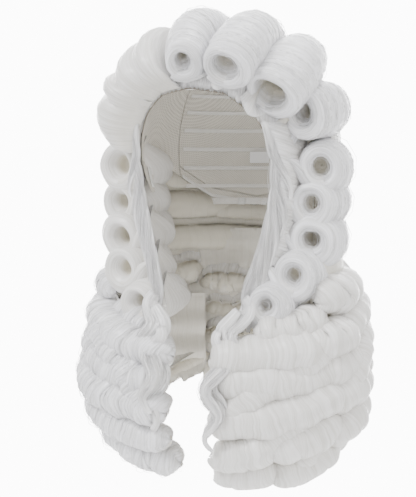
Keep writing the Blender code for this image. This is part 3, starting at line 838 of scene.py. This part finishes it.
@dataclass
class BaseHair:
    """The short hair over the cap, and the combed strands that rise from the hairline."""

    fibre: bpy.types.Material

    def dome(self) -> Sheet:
        """A sheet over the whole cap, lifted least at its edge."""
        scale = grain()
        turn = np.linspace(-179.6, 179.6, int(210 * scale))[None, :]
        low = cap_edge(turn) + 1.5
        low = np.where(np.abs(np.abs(turn) - 76) < 12, np.maximum(low, -8.0), low)
        t = np.linspace(0, 1, int(40 * scale))[:, None]
        elevation = low + (89.3 - low) * t
        lift = 0.0034 + 0.0046 * smooth(t * 6) + 0.0008 * wander(turn / 60 + t, 8)
        # Painted shade towards the cap's lower edge.
        return Sheet(on_head(turn, elevation, lift), 0.0026, 0.25 * (1 - smooth(t * 5)), seed=21,
                     groove=0.0006, clump=0.006, fibres=200, lift=0.0010)

    def fringe(self, centre: float, half: float, reach: float, slant: float, seed: int) -> Sheet:
        """A band of strands from the lace edge up towards the rolls."""
        scale = grain()
        u = np.linspace(-1, 1, int(half * 6 * scale))[None, :]
        t = np.linspace(0, 1, int(24 * scale))[:, None]
        turn = centre + half * u + slant * smooth(t) * np.sign(centre + 0.01)
        elevation = cap_edge(centre + half * u) + 0.3 + reach * t + 1.2 * (1 - t) * wander(u * 3, seed)
        lift = 0.0016 + 0.013 * t ** 1.4 + 0.0012 * wander(u * 2.2 + 0 * t, seed + 1) * t
        # Painted shade towards the lace edge where the strands start.
        return Sheet(on_head(turn, elevation, lift), 0.0016, 0.45 * (1 - smooth(t * 2.2)), seed=seed,
                     groove=0.0011, clump=0.0042, fibres=int(half * 4), lift=0.0012, tresses=22)

    def rising_locks(self) -> list[Sheet]:
        """Short locks that rise from the hairline into the rolls."""
        sheets = []
        for number, turn in enumerate(np.arange(-6.0, 46.0, 4.6)):
            lean = 2.0 + 5.0 * np.sin(1.9 * number) ** 2
            t = np.linspace(0, 1, 8)
            edge = float(cap_edge(turn))
            path = on_head(turn + lean * t, edge + 0.6 + 15.0 * t ** 0.9, 0.0022 + 0.021 * t ** 1.2)
            width = 0.0062 + 0.0012 * np.sin(2.3 * number)
            sheets.append(ribbon(path, unit(path[3] - HEAD_CENTRE), width, 0.0026, 600 + number, 24))
        return sheets

    def build(self) -> None:
        """Makes both."""
        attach(hair_piece("base_hair_combed", [self.dome()], self.fibre, ["base_hair"]), "cap")
        bands = [self.fringe(centre, 11.5, 17.0, slant, 30 + number) for number, (centre, slant) in
                 enumerate(((-52, 9), (-34, 8), (-16, 6), (2, 3), (20, 6), (38, 8), (55, 9)))]
        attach(hair_piece("hairline_strands", bands + self.rising_locks(), self.fibre), "cap")


@dataclass
class FaceVeils:
    """Combed hair from the edge beside the face back to the curls."""

    fibre: bpy.types.Material

    def sheet(self, side: Side, top: float, bottom: float, seed: int) -> Sheet:
        """A sheet whose strands leave the face edge, bow forwards and run back behind the curls."""
        scale = grain()
        s = side.value
        z = np.linspace(top, bottom, int((top - bottom) * 760 * scale))
        first = face_edge(side, z)
        second = first + (s * 0.012, -0.010, -0.004)
        third = np.stack([np.full_like(z, s * 0.088), np.full_like(z, -0.020), z - 0.014], axis=-1)
        last = np.stack([np.full_like(z, s * 0.093), np.full_like(z, 0.045), z - 0.012], axis=-1)
        t = np.linspace(0, 1, int(32 * scale))[:, None, None]
        grid = ((1 - t) ** 3 * first + 3 * (1 - t) ** 2 * t * second
                + 3 * (1 - t) * t ** 2 * third + t ** 3 * last)
        # Painted shade rising towards the curls, where the strands run back behind them, and a little at the
        # face edge.
        tuck = 0.35 * smooth(t[..., 0] * 1.6) + 0.2 * (1 - smooth(t[..., 0] * 6))
        return Sheet(grid, 0.0028, tuck, seed=seed, groove=0.0010, clump=0.008, fibres=60, lift=0.0012,
                     tresses=50)

    def backing(self, side: Side) -> Sheet:
        """Straight hair behind the curls, from the side of the cap down to the shoulder."""
        scale = grain()
        y = np.linspace(-0.012, 0.078, int(50 * scale))[None, :]
        z = np.linspace(-0.026, -0.232, int(60 * scale))[:, None]
        across = 0.089 + 0.010 * smooth((-z - 0.05) / 0.10) - 0.9 * np.maximum(y - 0.02, 0) ** 2 / 0.09
        grid = np.stack([side.value * across + 0 * y, y + 0 * z, z + 0 * y], axis=-1)
        # An even half share of painted shade, for hair that lies behind the curls.
        return Sheet(grid, 0.0028, 0.5, seed=78, groove=0.0009, clump=0.008, fibres=30)

    def edge_locks(self, side: Side) -> list[Sheet]:
        """Thin locks that hang along the face edge and turn back into the curls."""
        s = side.value
        sheets = []
        for number, (top, bottom, width) in enumerate(((-0.062, -0.140, 0.0040), (-0.086, -0.176, 0.0046),
                                                       (-0.112, -0.204, 0.0044), (-0.138, -0.228, 0.0050),
                                                       (-0.162, -0.246, 0.0050), (-0.188, -0.266, 0.0054))):
            z = np.linspace(top, bottom, 10)
            t = np.linspace(0, 1, 10)
            back = smooth(t * 1.6 - 0.6)
            inwards = np.stack([s * (0.001 + 0.014 * back), -0.0035 + 0.004 * back, 0 * t], axis=-1)
            path = face_edge(side, z) + inwards
            path[:, 0] += s * 0.0014 * np.sin(9 * t + number)
            seed = 90 + number + (5 if s < 0 else 0)
            sheets.append(ribbon(path, np.array([s * 0.35, -1.0, 0.0]), width, 0.0018, seed))
        return sheets

    def build(self) -> None:
        """Makes the veil on each side."""
        for side in Side:
            veil = self.sheet(side, -0.048, -0.246, 70 if side is Side.LEFT else 75)
            sheets = [veil, *self.edge_locks(side), self.backing(side)]
            name = f"{side.word}_face_lock"
            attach(hair_piece(f"{name}_hair", sheets, self.fibre, [name]), "cap")


@dataclass
class BackRolls:
    """The rolls across the crown, round the back of the head and below the nape.

    Attributes:
        fibre: their finish.
        elevations: how high on the head each roll lies.
        hanging: height, half width, half length and radius of each roll below the nape.
        first_azimuth: where the rolls begin, on each side.
    """

    fibre: bpy.types.Material
    elevations: tuple[float, ...] = (50.0, 28.0, 8.0, -11.0)
    hanging: tuple[tuple[float, float, float, float], ...] = ((-0.152, 0.098, 0.113, 0.0200),
                                                              (-0.187, 0.102, 0.108, 0.0178))
    first_azimuth: float = 97.0

    def row(self, name: str, centres: Array, normal: Array, size: float, seed: int) -> None:
        """One row as two or three rolls of hair end to end, overlapping."""
        cuts = ((0.0, 0.38), (0.33, 0.70), (0.64, 1.0)) if seed % 2 else ((0.0, 0.55), (0.49, 1.0))
        sheets = []
        count = len(centres)
        for part, (a, b) in enumerate(cuts):
            i, j = int(a * (count - 1)), int(b * (count - 1)) + 1
            offset = 0.0035 * np.sin(2.1 * seed + 2.6 * part)
            radius = (size * 0.86, size * 1.04, size, size * 0.82)
            roll = Roll(centres[i:j] + (0, 0, offset), normal[i:j], radius, depth=0.74, start=135.0,
                        sweep=-455.0, inner=0.5, spacing=0.0019, seed=seed * 10 + part)
            sheets.append(roll.sheet(0.0045, fibres=50, lift=0.0009, clump=0.011, tresses=46))
        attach(hair_piece(f"{name}_hair", sheets, self.fibre, [name]), "cap")

    def build(self) -> None:
        """Makes the crown roll and the rows below it."""
        turn = np.linspace(-58, 58, 24)
        crown = on_head(180 + 1.4 * turn, 76 - 0.10 * np.abs(turn), 0.021)
        self.row("crown_roll", crown, unit(crown - HEAD_CENTRE), 0.021, 61)
        turn = np.linspace(self.first_azimuth, 360 - self.first_azimuth, 60)
        for number, elevation in enumerate(self.elevations, start=1):
            lifted = 0.019 + 0.003 * wander(turn / 90, number)
            centres = on_head(turn, np.full_like(turn, elevation), lifted)
            outward = unit((centres - HEAD_CENTRE) / HEAD ** 2)
            self.row(f"back_roll_{number}", centres, outward, 0.0205, 62 + number)
        a = np.radians(turn)
        for number, (height, across, back, radius) in enumerate(self.hanging, start=len(self.elevations) + 1):
            centres = np.stack([across * np.sin(a), -back * np.cos(a), np.full_like(a, height)], axis=-1)
            self.row(f"back_roll_{number}", centres, unit(centres * (1, 1, 0)), radius, 62 + number)


@dataclass(frozen=True)
class FallPlan:
    """How one side's fall is broken up.

    The waves of neighbouring rows also fork: a bridge is a lock that climbs from one row to the row
    above it between two azimuths.

    Attributes:
        rise: how much lower each row is at its front end than at the side.
        radius: radius of the waves.
        spread: how far each row stands out past the frame's row.
        cuts: for each row, where its locks begin and end along it.
        bridges: for each row, the azimuths between which its bridges climb.
        deeper: how much lower and further in the collar above the rows lies.
    """

    rise: float
    radius: float
    spread: tuple[float, ...]
    cuts: tuple[tuple[tuple[float, float], ...], ...]
    bridges: tuple[tuple[tuple[float, float], ...], ...]
    deeper: float = 0.0


FALL_PLANS = {
    Side.LEFT: FallPlan(
        rise=0.030, radius=0.0190, spread=(0.0, 0.001, 0.001, 0.001, 0.0),
        cuts=(((0.0, 0.42), (0.36, 0.62), (0.56, 1.0)),
              ((0.0, 0.36), (0.28, 0.66), (0.60, 1.0)),
              ((0.0, 0.50), (0.40, 0.72), (0.66, 1.0)),
              ((0.0, 0.24), (0.19, 0.50), (0.43, 0.74), (0.68, 1.0)),
              ((0.0, 0.26), (0.22, 0.60), (0.53, 1.0))),
        bridges=((), ((38, 84),), ((70, 118), (12, 40)), ((24, 66), (100, 138)), ((50, 98),))),
    Side.RIGHT: FallPlan(
        rise=0.040, radius=0.0174, spread=(0.001, 0.007, 0.009, 0.008, 0.005),
        cuts=(((0.0, 0.34), (0.28, 0.64), (0.57, 1.0)),
              ((0.0, 0.48), (0.40, 0.70), (0.63, 1.0)),
              ((0.0, 0.30), (0.24, 0.62), (0.55, 1.0)),
              ((0.0, 0.52), (0.44, 0.76), (0.70, 1.0)),
              ((0.0, 0.28), (0.22, 0.58), (0.50, 1.0))),
        bridges=((), ((22, 66),), ((60, 108), (10, 36)), ((34, 82), (104, 140)), ((58, 106),)),
        deeper=0.010),
}


@dataclass
class Falls:
    """The waved hair in front of each shoulder, and behind the neck.

    Attributes:
        fibre: its finish.
        azimuths: where the rows at the sides begin and end.
        shorter: degrees by which the first row ends sooner, clear of the hair behind the neck.
        depth: thickness of the waves outwards as a share of their height.
        rows: rows on each side and behind the neck.
        bow: half width at which the curve of the rows behind the neck would reach the sides.
        locks: side, front, top, bottom and width of each lock on the front edge of a fall.
    """

    fibre: bpy.types.Material
    azimuths: tuple[float, float] = (9.0, 150.0)
    shorter: float = 7.0
    depth: float = 1.22
    rows: int = 5
    bow: float = 0.150
    locks: tuple[tuple[float, ...], ...] = ((0.047, -0.058, -0.232, -0.318, 0.010),
                                            (0.038, -0.068, -0.244, -0.345, 0.009),
                                            (0.035, -0.078, -0.262, -0.356, 0.008),
                                            (0.033, -0.072, -0.276, -0.372, 0.008))

    def arc(self, node: str, rise: float, azimuths: tuple[float, float], inwards: float = 0.0,
            count: int = 120) -> tuple[Array, Array]:
        """Centre line of a row and its outward direction, from the frame's box of that row."""
        low, high = (np.array(v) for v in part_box(node))
        sign = 1.0 if high[0] + low[0] > 0 else -1.0
        margin = 0.021 + inwards
        half_width = max(abs(high[0]), abs(low[0])) - margin
        front, back = -low[1] - margin, half_width - 0.016
        height = 0.5 * (low[2] + high[2])
        a = np.radians(np.linspace(*azimuths, count))
        reach = np.where(np.cos(a) > 0, front, back)
        centres = np.stack([sign * half_width * np.sin(a), -reach * np.cos(a), height - rise * np.cos(a)],
                           axis=-1)
        outward = unit(np.stack([sign * np.sin(a) / half_width, -np.cos(a) / reach, 0 * a], axis=-1))
        return centres, outward

    def waves(self, centres: Array, outward: Array, cuts: Sequence[tuple[float, float]], radius: float,
              seed: int) -> list[Sheet]:
        """The locks of one row: overlapping rolls with rounded ends, each at its own height and tilt."""
        rng = np.random.default_rng(seed)
        last = len(centres) - 1
        sheets = []
        for part, (a, b) in enumerate(cuts):
            i, j = int(a * last), int(b * last) + 1
            span = np.linspace(-0.5, 0.5, j - i)
            rise = rng.uniform(-0.0045, 0.0045) + rng.uniform(-0.013, 0.013) * span
            rise = rise + 0.0022 * wander(span * 1.3, seed + part)
            out = rng.uniform(-0.002, 0.002) + 0.004 * span * rng.uniform(-1, 1)
            line = centres[i:j] + outward[i:j] * out[:, None]
            line[:, 2] += rise
            size = radius * rng.uniform(0.93, 1.09)
            roll = Roll(line, outward[i:j], (size * 0.92, size, size * 1.04, size * 0.94), depth=self.depth,
                        start=150.0, sweep=-430.0, inner=0.46, spacing=0.0016, wobble=0.10, rounded=0.93,
                        seed=seed * 10 + part)
            tresses = int(0.33 * 110 * (j - i) / len(centres)) + 12
            sheets.append(roll.sheet(0.0040, fibres=40, lift=0.0013, clump=0.012, groove=0.0012,
                                     relief=0.0017, tresses=tresses))
        return sheets

    def drape(self, centres: Array, top: float, bottom: float, seed: int) -> Sheet:
        """Straight hair that hangs behind the waves from one height to another."""
        scale = grain()
        columns = int(80 * scale)
        rim = resample(centres, columns)
        t = np.linspace(0, 1, int(26 * scale))[:, None]
        drop = rim[:, 2] - rim[:, 2].max()
        ragged = 0.006 * wander(np.linspace(0, 4, columns), seed)
        z = top + (bottom - top + ragged) * t + drop[None, :] * smooth(t * 1.5)
        ripple = 1 + 0.028 * np.sin(2 * np.pi * z / 0.030) * smooth(3 * t)
        grid = np.stack([rim[:, 0] * ripple, rim[:, 1] * ripple, z], axis=-1)
        # Painted shade over the whole sheet, for hair that hangs behind the waves.
        return Sheet(grid, 0.0030, 0.40, seed=seed, groove=0.0016, clump=0.010, fibres=60, tresses=40)

    def edge_locks(self, side: Side) -> list[Sheet]:
        """Narrow waved locks that run down the front edge of the fall."""
        s = side.value
        sheets = []
        shift = 0.0 if side is Side.LEFT else 0.014
        t = np.linspace(0, 1, 12)
        for number, (x, y, top, bottom, width) in enumerate(self.locks):
            sway = 0.0065 * np.sin(2 * np.pi * (t * (top - bottom) / 0.047 + 0.31 * number))
            path = np.stack([s * (x - 0.004 * t + 0.003 * t ** 3 + sway),
                             y - 0.024 * smooth(t * 1.3) + 0.4 * sway,
                             top + (bottom + shift - top) * t], axis=-1)
            seed = 80 + number + (5 if s < 0 else 0)
            sheets.append(ribbon(path, np.array([-s * 0.5, -1.0, 0.0]), width, 0.004, seed))
        return sheets

    def side_rows(self, side: Side) -> None:
        """The rows on one side, the hair behind them and what joins them to the cap's hair."""
        plan = FALL_PLANS[side]
        for number, cuts in enumerate(plan.cuts, start=1):
            node = f"{side.word}_fall_row_{number}"
            spread = plan.spread[number - 1]
            azimuths = (self.azimuths[0], self.azimuths[1] - (self.shorter if number == 1 else 0.0))
            centres, outward = self.arc(node, plan.rise, azimuths, inwards=-spread)
            centres[:, 2] += 0.5 * (plan.rise - 0.022)
            seed = 100 + number * 3 + (50 if side is Side.RIGHT else 0)
            radius = plan.radius * (0.9 if number == self.rows else 1.0)
            sheets = self.waves(centres, outward, cuts, radius, seed)
            for span in plan.bridges[number - 1]:
                line, facing = self.arc(node, plan.rise, span, inwards=-spread - 0.001)
                climb = smooth(np.linspace(0, 1, len(line))) * plan.radius * 1.75
                line[:, 2] += climb + 0.5 * (plan.rise - 0.022)
                sheets += self.waves(line, facing, ((0.0, 1.0),), 0.82 * radius, seed + int(span[0]))
            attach(hair_piece(f"{node}_hair", sheets, self.fibre, [node]), f"{side.word}_fall")
        first, last = f"{side.word}_fall_row_1", f"{side.word}_fall_row_{self.rows}"
        seed = 180 if side is Side.LEFT else 190
        core, _ = self.arc(last, plan.rise, (30.0, 148.0), inwards=0.006)
        floor = core[:, 2].max()
        line, facing = self.arc(first, 0.020, (30.0, 74.0), inwards=0.010 + plan.deeper)
        line = line + (0, 0, 0.019 - plan.deeper)
        collar = self.waves(line, facing, ((0.0, 0.60), (0.45, 1.0)), 0.0150, seed + 4)
        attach(hair_piece(f"{side.word}_fall_core", [self.drape(core, -0.246, floor, seed)] + collar
                           + self.edge_locks(side), self.fibre), f"{side.word}_fall")
        centres, outward = self.arc(first, 0.012, (64.0, 147.0), inwards=0.008)
        upper = self.waves(centres + (0, 0, 0.031), outward, ((0.0, 0.40), (0.32, 0.70), (0.62, 1.0)),
                           0.0185, seed + 1)
        neck, _ = self.arc(first, 0.012, (64.0, 154.0), inwards=0.009)
        upper.append(self.drape(neck, -0.196, -0.262, seed + 2))
        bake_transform(hair_piece(f"{side.word}_shoulder_waves", upper, self.fibre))

    def behind(self, half: float, out: float, height: float, count: int) -> Array:
        """A line behind the neck, bowed round it."""
        x = np.linspace(-1, 1, count) * half
        return np.stack([x, out * np.sqrt(1 - (x / self.bow) ** 2), np.full_like(x, height)], axis=-1)

    def back_rows(self) -> None:
        """The rows behind the neck. The first is thinner and lower, clear of the roll above it."""
        even = ((0.0, 0.30), (0.24, 0.66), (0.58, 1.0))
        odd = ((0.0, 0.42), (0.34, 0.78), (0.7, 1.0))
        for number in range(1, self.rows + 1):
            node = f"back_fall_row_{number}"
            low, high = (np.array(v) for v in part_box(node))
            centres = self.behind(high[0] + 0.012, high[1] - 0.019, 0.5 * (low[2] + high[2]), 60)
            outward = unit(np.stack([0.5 * centres[:, 0] / 0.1, np.ones(60), np.zeros(60)], axis=-1))
            radius = 0.0185
            if number == 1:
                centres = centres - (0, 0.005, 0.007)
                radius = 0.0165
            sheets = self.waves(centres, outward, odd if number % 2 else even, radius, 200 + number)
            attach(hair_piece(f"{node}_hair", sheets, self.fibre, [node]), "back_fall")
        _, high = (np.array(v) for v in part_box("back_fall_row_1"))
        rim = self.behind(high[0] + 0.008, high[1] - 0.030, 0.0, 40)
        core = self.drape(rim, -0.226, -0.366, 230)
        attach(hair_piece("back_fall_core", [core], self.fibre), "back_fall")
        nape = self.drape(rim, -0.176, -0.236, 231)
        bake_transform(hair_piece("nape_hair", [nape], self.fibre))

    def build(self) -> None:
        """Makes all the rows."""
        for side in Side:
            self.side_rows(side)
        self.back_rows()


# ---------------------------------------------------------------- cap


@dataclass(frozen=True)
class ClothFinish:
    """A woven or knitted finish.

    Attributes:
        name: the frame's material slot that it fills.
        yarn: colour of the threads.
        gap: colour between the threads.
        pitch: metres from thread to thread.
        open_share: how much of it is open holes, from 0 to 1.
        roughness: roughness of the threads.
    """

    name: str
    yarn: tuple[float, float, float]
    gap: tuple[float, float, float]
    pitch: float
    open_share: float = 0.0
    roughness: float = 0.75

    def material(self, weave: bpy.types.NodeTree) -> bpy.types.Material:
        """The finish as a material that reads Object coordinates."""
        material, tree, shader = new_material(self.name)
        where = add_node(tree, "TexCoord", {})
        cloth = add_node(tree, "Group", {}, node_tree=weave)
        feed(tree, cloth, {"Scale": 1.0 / self.pitch, "Place": where.outputs["Object"]})
        threads = cloth.outputs["Threads"]
        bump = add_node(tree, "Bump", {"Strength": 0.6, "Distance": 0.25 * self.pitch, "Height": threads})
        feed(tree, shader, {"Base Color": mixed(tree, threads, self.gap, self.yarn),
                            "Roughness": self.roughness, "Normal": bump.outputs[0]})
        if self.open_share > 0:
            limits = {"From Min": self.open_share - 0.1, "From Max": self.open_share}
            holes = add_node(tree, "MapRange", {**limits, "Value": threads})
            feed(tree, shader, {"Alpha": holes.outputs[0]})
        return material


def weave_group() -> bpy.types.NodeTree:
    """A shader group with rounded threads crossing at right angles on the two slanted directions."""
    group, given = new_group("crossed_threads", {"Place": "Vector", "Scale": "Float"})
    ridges = []
    for direction in ((0.7, 0.35, 0.75), (-0.7, 0.35, 0.75)):
        dot = add_node(group, "VectorMath", {0: given["Place"], 1: direction}, operation="DOT_PRODUCT")
        scaled = add_node(group, "Math", {0: dot.outputs["Value"], 1: given["Scale"]}, operation="MULTIPLY")
        folded = add_node(group, "Math", {0: scaled.outputs[0], 1: 0.5}, operation="PINGPONG")
        ridges.append(folded.outputs[0])
    top = add_node(group, "Math", {0: ridges[0], 1: ridges[1]}, operation="MAXIMUM")
    doubled = add_node(group, "Math", {0: top.outputs[0], 1: 2.0}, operation="MULTIPLY")
    return finish_group(group, {"Threads": doubled.outputs[0]})


@dataclass(frozen=True)
class Patch:
    """One cloth panel of the cap.

    Attributes:
        node: the frame's node that it stands for.
        turns: the azimuths where it begins and ends.
        low: function from azimuth to the elevation of its lower edge.
        high: function from azimuth to the elevation of its upper edge.
    """

    node: str
    turns: tuple[float, float]
    low: Callable[[Array], Array]
    high: Callable[[Array], Array]


@dataclass
class Cap:
    """The stretch cap inside the wig, with its trims.

    Attributes:
        cloth: the finishes, by name.
        thickness: metres of cloth.
        lift: how far the cloth lies off the head.
        front: azimuth where the front panels end.
        side: azimuth where the side panels end.
        lace: height of the front lace in degrees.
        nape: height of the nape band in degrees.
        crown: elevation where the crown net begins.
        tab: azimuths where an ear tab begins and ends.
        tab_top: elevation of its top.
    """

    cloth: dict[str, bpy.types.Material]
    thickness: float = 0.0008
    lift: float = 0.0005
    front: float = 60.0
    side: float = 115.0
    lace: float = 9.0
    nape: float = 7.0
    crown: float = 62.0
    tab: tuple[float, float] = (67.3, 86.0)
    tab_top: float = -7.0

    def patches(self) -> list[Patch]:
        """Every cloth panel, with its edges."""
        def flat(value: float) -> Callable[[Array], Array]:
            """An edge at one elevation."""
            return lambda turn: np.full_like(turn, value)

        def above(gap: float) -> Callable[[Array], Array]:
            """An edge that follows the cap's lower edge."""
            return lambda turn: cap_edge(turn) + gap

        def side_low(turn: Array) -> Array:
            """The cap's lower edge, raised over the ear tab."""
            inside = (np.abs(turn) > self.tab[0] - 0.5) & (np.abs(turn) < self.tab[1] + 0.5)
            return np.where(inside, np.maximum(cap_edge(turn), self.tab_top + 0.4), cap_edge(turn))

        found = [Patch("front_lace", (-self.front, self.front), above(0), above(self.lace - 0.3)),
                 Patch("front_panel", (-self.front, self.front), above(self.lace), flat(self.crown - 0.3)),
                 Patch("crown_net", (-179.9, 179.9), flat(self.crown), flat(89.7)),
                 Patch("back_panel", (self.side, 360 - self.side), above(self.nape), flat(self.crown - 0.3)),
                 Patch("nape_band", (self.side, 360 - self.side), above(0), above(self.nape - 0.3))]
        for side in Side:
            s = side.value
            found.append(Patch(f"{side.word}_side_panel", (s * (self.front + 0.4), s * (self.side - 0.4)),
                               side_low, flat(self.crown - 0.3)))
            found.append(Patch(f"{side.word}_ear_tab", (s * self.tab[0], s * self.tab[1]),
                               above(0), flat(self.tab_top)))
        return found

    def grid(self, patch: Patch) -> Array:
        """Middle surface of a panel: elevation runs from its lower to its upper edge at each azimuth."""
        scale = 1.0
        span = abs(patch.turns[1] - patch.turns[0])
        turn = np.linspace(*patch.turns, max(10, int(span * 1.1 * scale)))[None, :]
        low, high = patch.low(turn), patch.high(turn)
        rise = float((high - low).mean())
        t = np.linspace(0, 1, max(6, int(rise * 0.9 * scale)))[:, None]
        return on_head(turn, low + (high - low) * t, self.lift + 0 * t)

    def panel(self, patch: Patch) -> None:
        grid = self.grid(patch)
        cloth = Sheet(grid, self.thickness, seed=1, groove=0.0, fibres=0)
        piece = build_mesh(f"{patch.node}_cloth", *cloth.arrays())
        slot = "hairline_lace" if patch.node == "front_lace" else "stretch_net"
        piece.data.materials.append(self.cloth["open_net" if patch.node == "crown_net" else slot])
        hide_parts(patch.node)
        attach(piece, "cap")

    def tape(self, name: str, turns: tuple[float, float], middle: Callable[[Array], Array], width: float,
             inwards: float) -> bpy.types.Object:
        """A narrow elastic tape sewn inside the cap, width in degrees of elevation."""
        scale = 1.0
        turn = np.linspace(*turns, int(abs(turns[1] - turns[0]) * 1.2 * scale))[None, :]
        t = np.linspace(-0.5, 0.5, 6)[:, None]
        grid = on_head(turn, middle(turn) + width * t, -inwards + 0 * t)
        piece = build_mesh(name, *Sheet(grid, 0.0006, seed=2, groove=0.00012, clump=0.002, fibres=0).arrays())
        piece.data.materials.append(self.cloth["elastic"])
        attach(piece, "cap")
        return piece

    def trims(self) -> None:
        """Gives the small nodes their finishes."""
        finishes = {"nape_loop_tape": "elastic", "front_tape_tab": "elastic", "size_label": "label",
                    "left_adjuster_strap": "elastic", "right_adjuster_strap": "elastic",
                    "left_adjuster_hook": "hook_plastic", "right_adjuster_hook": "hook_plastic",
                    "left_ear_stay": "hook_plastic", "right_ear_stay": "hook_plastic"}
        for node, slot in finishes.items():
            mesh = bpy.data.objects[node].data
            mesh.materials.clear()
            mesh.materials.append(self.cloth[slot])

    def build(self) -> None:
        """Makes the tapes, the panels that carry them, and the trims' finishes."""
        wefts = [self.tape(f"weft_track_{number}", (118.0, 242.0), lambda turn, e=e: np.full_like(turn, e),
                           2.6, 0.0005) for number, e in enumerate((-22, -10, 2, 14, 26, 38, 50), start=1)]
        rim = self.tape("nape_binding", (116.0, 244.0), lambda turn: cap_edge(turn) + 1.3, 2.4, 0.0006)
        front = self.tape("front_binding", (-59.0, 59.0), lambda turn: cap_edge(turn) + self.lace,
                          2.6, 0.0005)
        for patch in self.patches():
            self.panel(patch)
        self.trims()


def cap_finishes(weave: bpy.types.NodeTree) -> dict[str, bpy.types.Material]:
    """Every finish of the cap, by name."""
    return {name: ClothFinish(*plan).material(weave) for name, plan in {
        "stretch_net": ("stretch_net", (0.78, 0.75, 0.68), (0.46, 0.43, 0.37), 0.0016),
        "open_net": ("stretch_net_open", (0.80, 0.77, 0.70), (0.30, 0.28, 0.25), 0.0030, 0.62),
        "hairline_lace": ("hairline_lace", (0.80, 0.72, 0.62), (0.62, 0.54, 0.46), 0.0009),
        "elastic": ("elastic", (0.86, 0.85, 0.82), (0.62, 0.60, 0.56), 0.0008),
        "hook_plastic": ("hook_plastic", (0.80, 0.80, 0.78), (0.80, 0.80, 0.78), 0.01, 0.0, 0.35),
        "label": ("label", (0.90, 0.90, 0.90), (0.84, 0.84, 0.84), 0.0004)}.items()}


# ---------------------------------------------------------------- camera and light


@dataclass(frozen=True)
class Studio:
    """Camera, soft light and a pale floor.

    Attributes:
        azimuth: degrees from straight ahead to the camera, towards the wearer's left.
        distance: metres from the wig's middle to the camera.
        eye_height: height of the camera.
        aim: how far to the side and how high the camera aims.
        span: width of the view at the aim.
        film: width of the camera's film in millimetres.
        floor: height of the floor.
        floor_size: half the side of the floor.
        around: strength of the surroundings.
        behind: strength of the surroundings behind the wig.
        lamps: name, place, side, watts and colour of each soft light.
        lit: what the lights aim at.
    """

    azimuth: float = 24.0
    distance: float = 1.15
    eye_height: float = -0.108
    aim: tuple[float, float] = (-0.016, -0.1915)
    span: float = 0.416
    film: float = 36.0
    floor: float = -0.62
    floor_size: float = 0.45
    around: float = 1.5
    behind: float = 12.0
    lamps: tuple[tuple, ...] = (("key", (-0.75, -1.25, 1.05), 0.7, 38.0, (0.985, 0.985, 1.0)),
                                ("fill", (1.7, -0.6, 0.5), 0.8, 15.0, (1.0, 0.985, 0.955)),
                                ("top", (0.25, 0.35, 1.2), 0.7, 14.0, (0.97, 0.97, 1.0)))
    lit: tuple[float, float, float] = (0.0, 0.0, -0.18)

    def build(self) -> None:
        """Adds everything that isn't the wig."""
        scene = bpy.context.scene
        a = np.radians(self.azimuth)
        camera = bpy.data.objects.new("camera", bpy.data.cameras.new("camera"))
        scene.collection.objects.link(camera)
        place = Vector((self.distance * np.sin(a), -self.distance * np.cos(a), self.eye_height))
        target = Vector((self.aim[0] * np.cos(a), self.aim[0] * np.sin(a), self.aim[1]))
        camera.location = place
        camera.rotation_euler = (target - place).to_track_quat("-Z", "Y").to_euler()
        camera.data.sensor_fit = "HORIZONTAL"
        camera.data.sensor_width = self.film
        camera.data.lens = self.film * (target - place).length / self.span
        scene.camera = camera
        self.sky(scene)
        for lamp in self.lamps:
            self.lamp(*lamp)
        mesh = bpy.data.meshes.new("floor")
        size = self.floor_size
        mesh.from_pydata([(-size, -size, self.floor), (size, -size, self.floor), (size, size, self.floor),
                          (-size, size, self.floor)], [], [(0, 1, 2, 3)])
        floor = bpy.data.objects.new("floor", mesh)
        scene.collection.objects.link(floor)
        paint, tree, shader = new_material("floor")
        feed(tree, shader, {"Base Color": (0.95, 0.95, 0.95, 1), "Roughness": 0.9})
        mesh.materials.append(paint)

    def sky(self, scene: bpy.types.Scene) -> None:
        """White surroundings, brightest behind the wig as seen from the camera."""
        world = bpy.data.worlds.new("studio")
        world.use_nodes = True
        tree = world.node_tree
        a = np.radians(self.azimuth)
        where = add_node(tree, "TexCoord", {})
        ahead = (-np.sin(a), np.cos(a), 0.0)
        facing = add_node(tree, "VectorMath", {0: where.outputs["Generated"], 1: ahead},
                          operation="DOT_PRODUCT")
        ramp = add_node(tree, "MapRange", {"From Min": 0.72, "From Max": 0.93, "To Min": self.around,
                                           "To Max": self.behind, "Value": facing.outputs["Value"]},
                        interpolation_type="SMOOTHSTEP")
        feed(tree, tree.nodes["Background"], {"Strength": ramp.outputs[0], "Color": (1.0, 1.0, 1.0, 1)})
        scene.world = world

    def lamp(self, name: str, place: tuple, size: float, power: float, colour: tuple) -> None:
        """A square soft light aimed at the middle of the wig."""
        light = bpy.data.lights.new(name, "AREA")
        light.size = size
        light.energy = power
        light.color = colour
        lamp = bpy.data.objects.new(name, light)
        bpy.context.scene.collection.objects.link(lamp)
        lamp.location = place
        lamp.rotation_euler = (Vector(self.lit) - Vector(place)).to_track_quat("-Z", "Y").to_euler()


def main() -> None:
    """Builds the wig's looks in order and reports each piece."""
    logging.basicConfig(level=logging.INFO, format="%(name)s %(message)s")
    Studio().build()
    streaks = streak_group()
    fibre = HairFinish().material(streaks)
    Cap(cap_finishes(weave_group())).build()
    for side in Side:
        SideCurls(side, fibre).build()
    FrontRolls(fibre).build()
    BaseHair(fibre).build()
    FaceVeils(fibre).build()
    BackRolls(fibre).build()
    Falls(fibre).build()


if __name__ == "__main__":
    main()
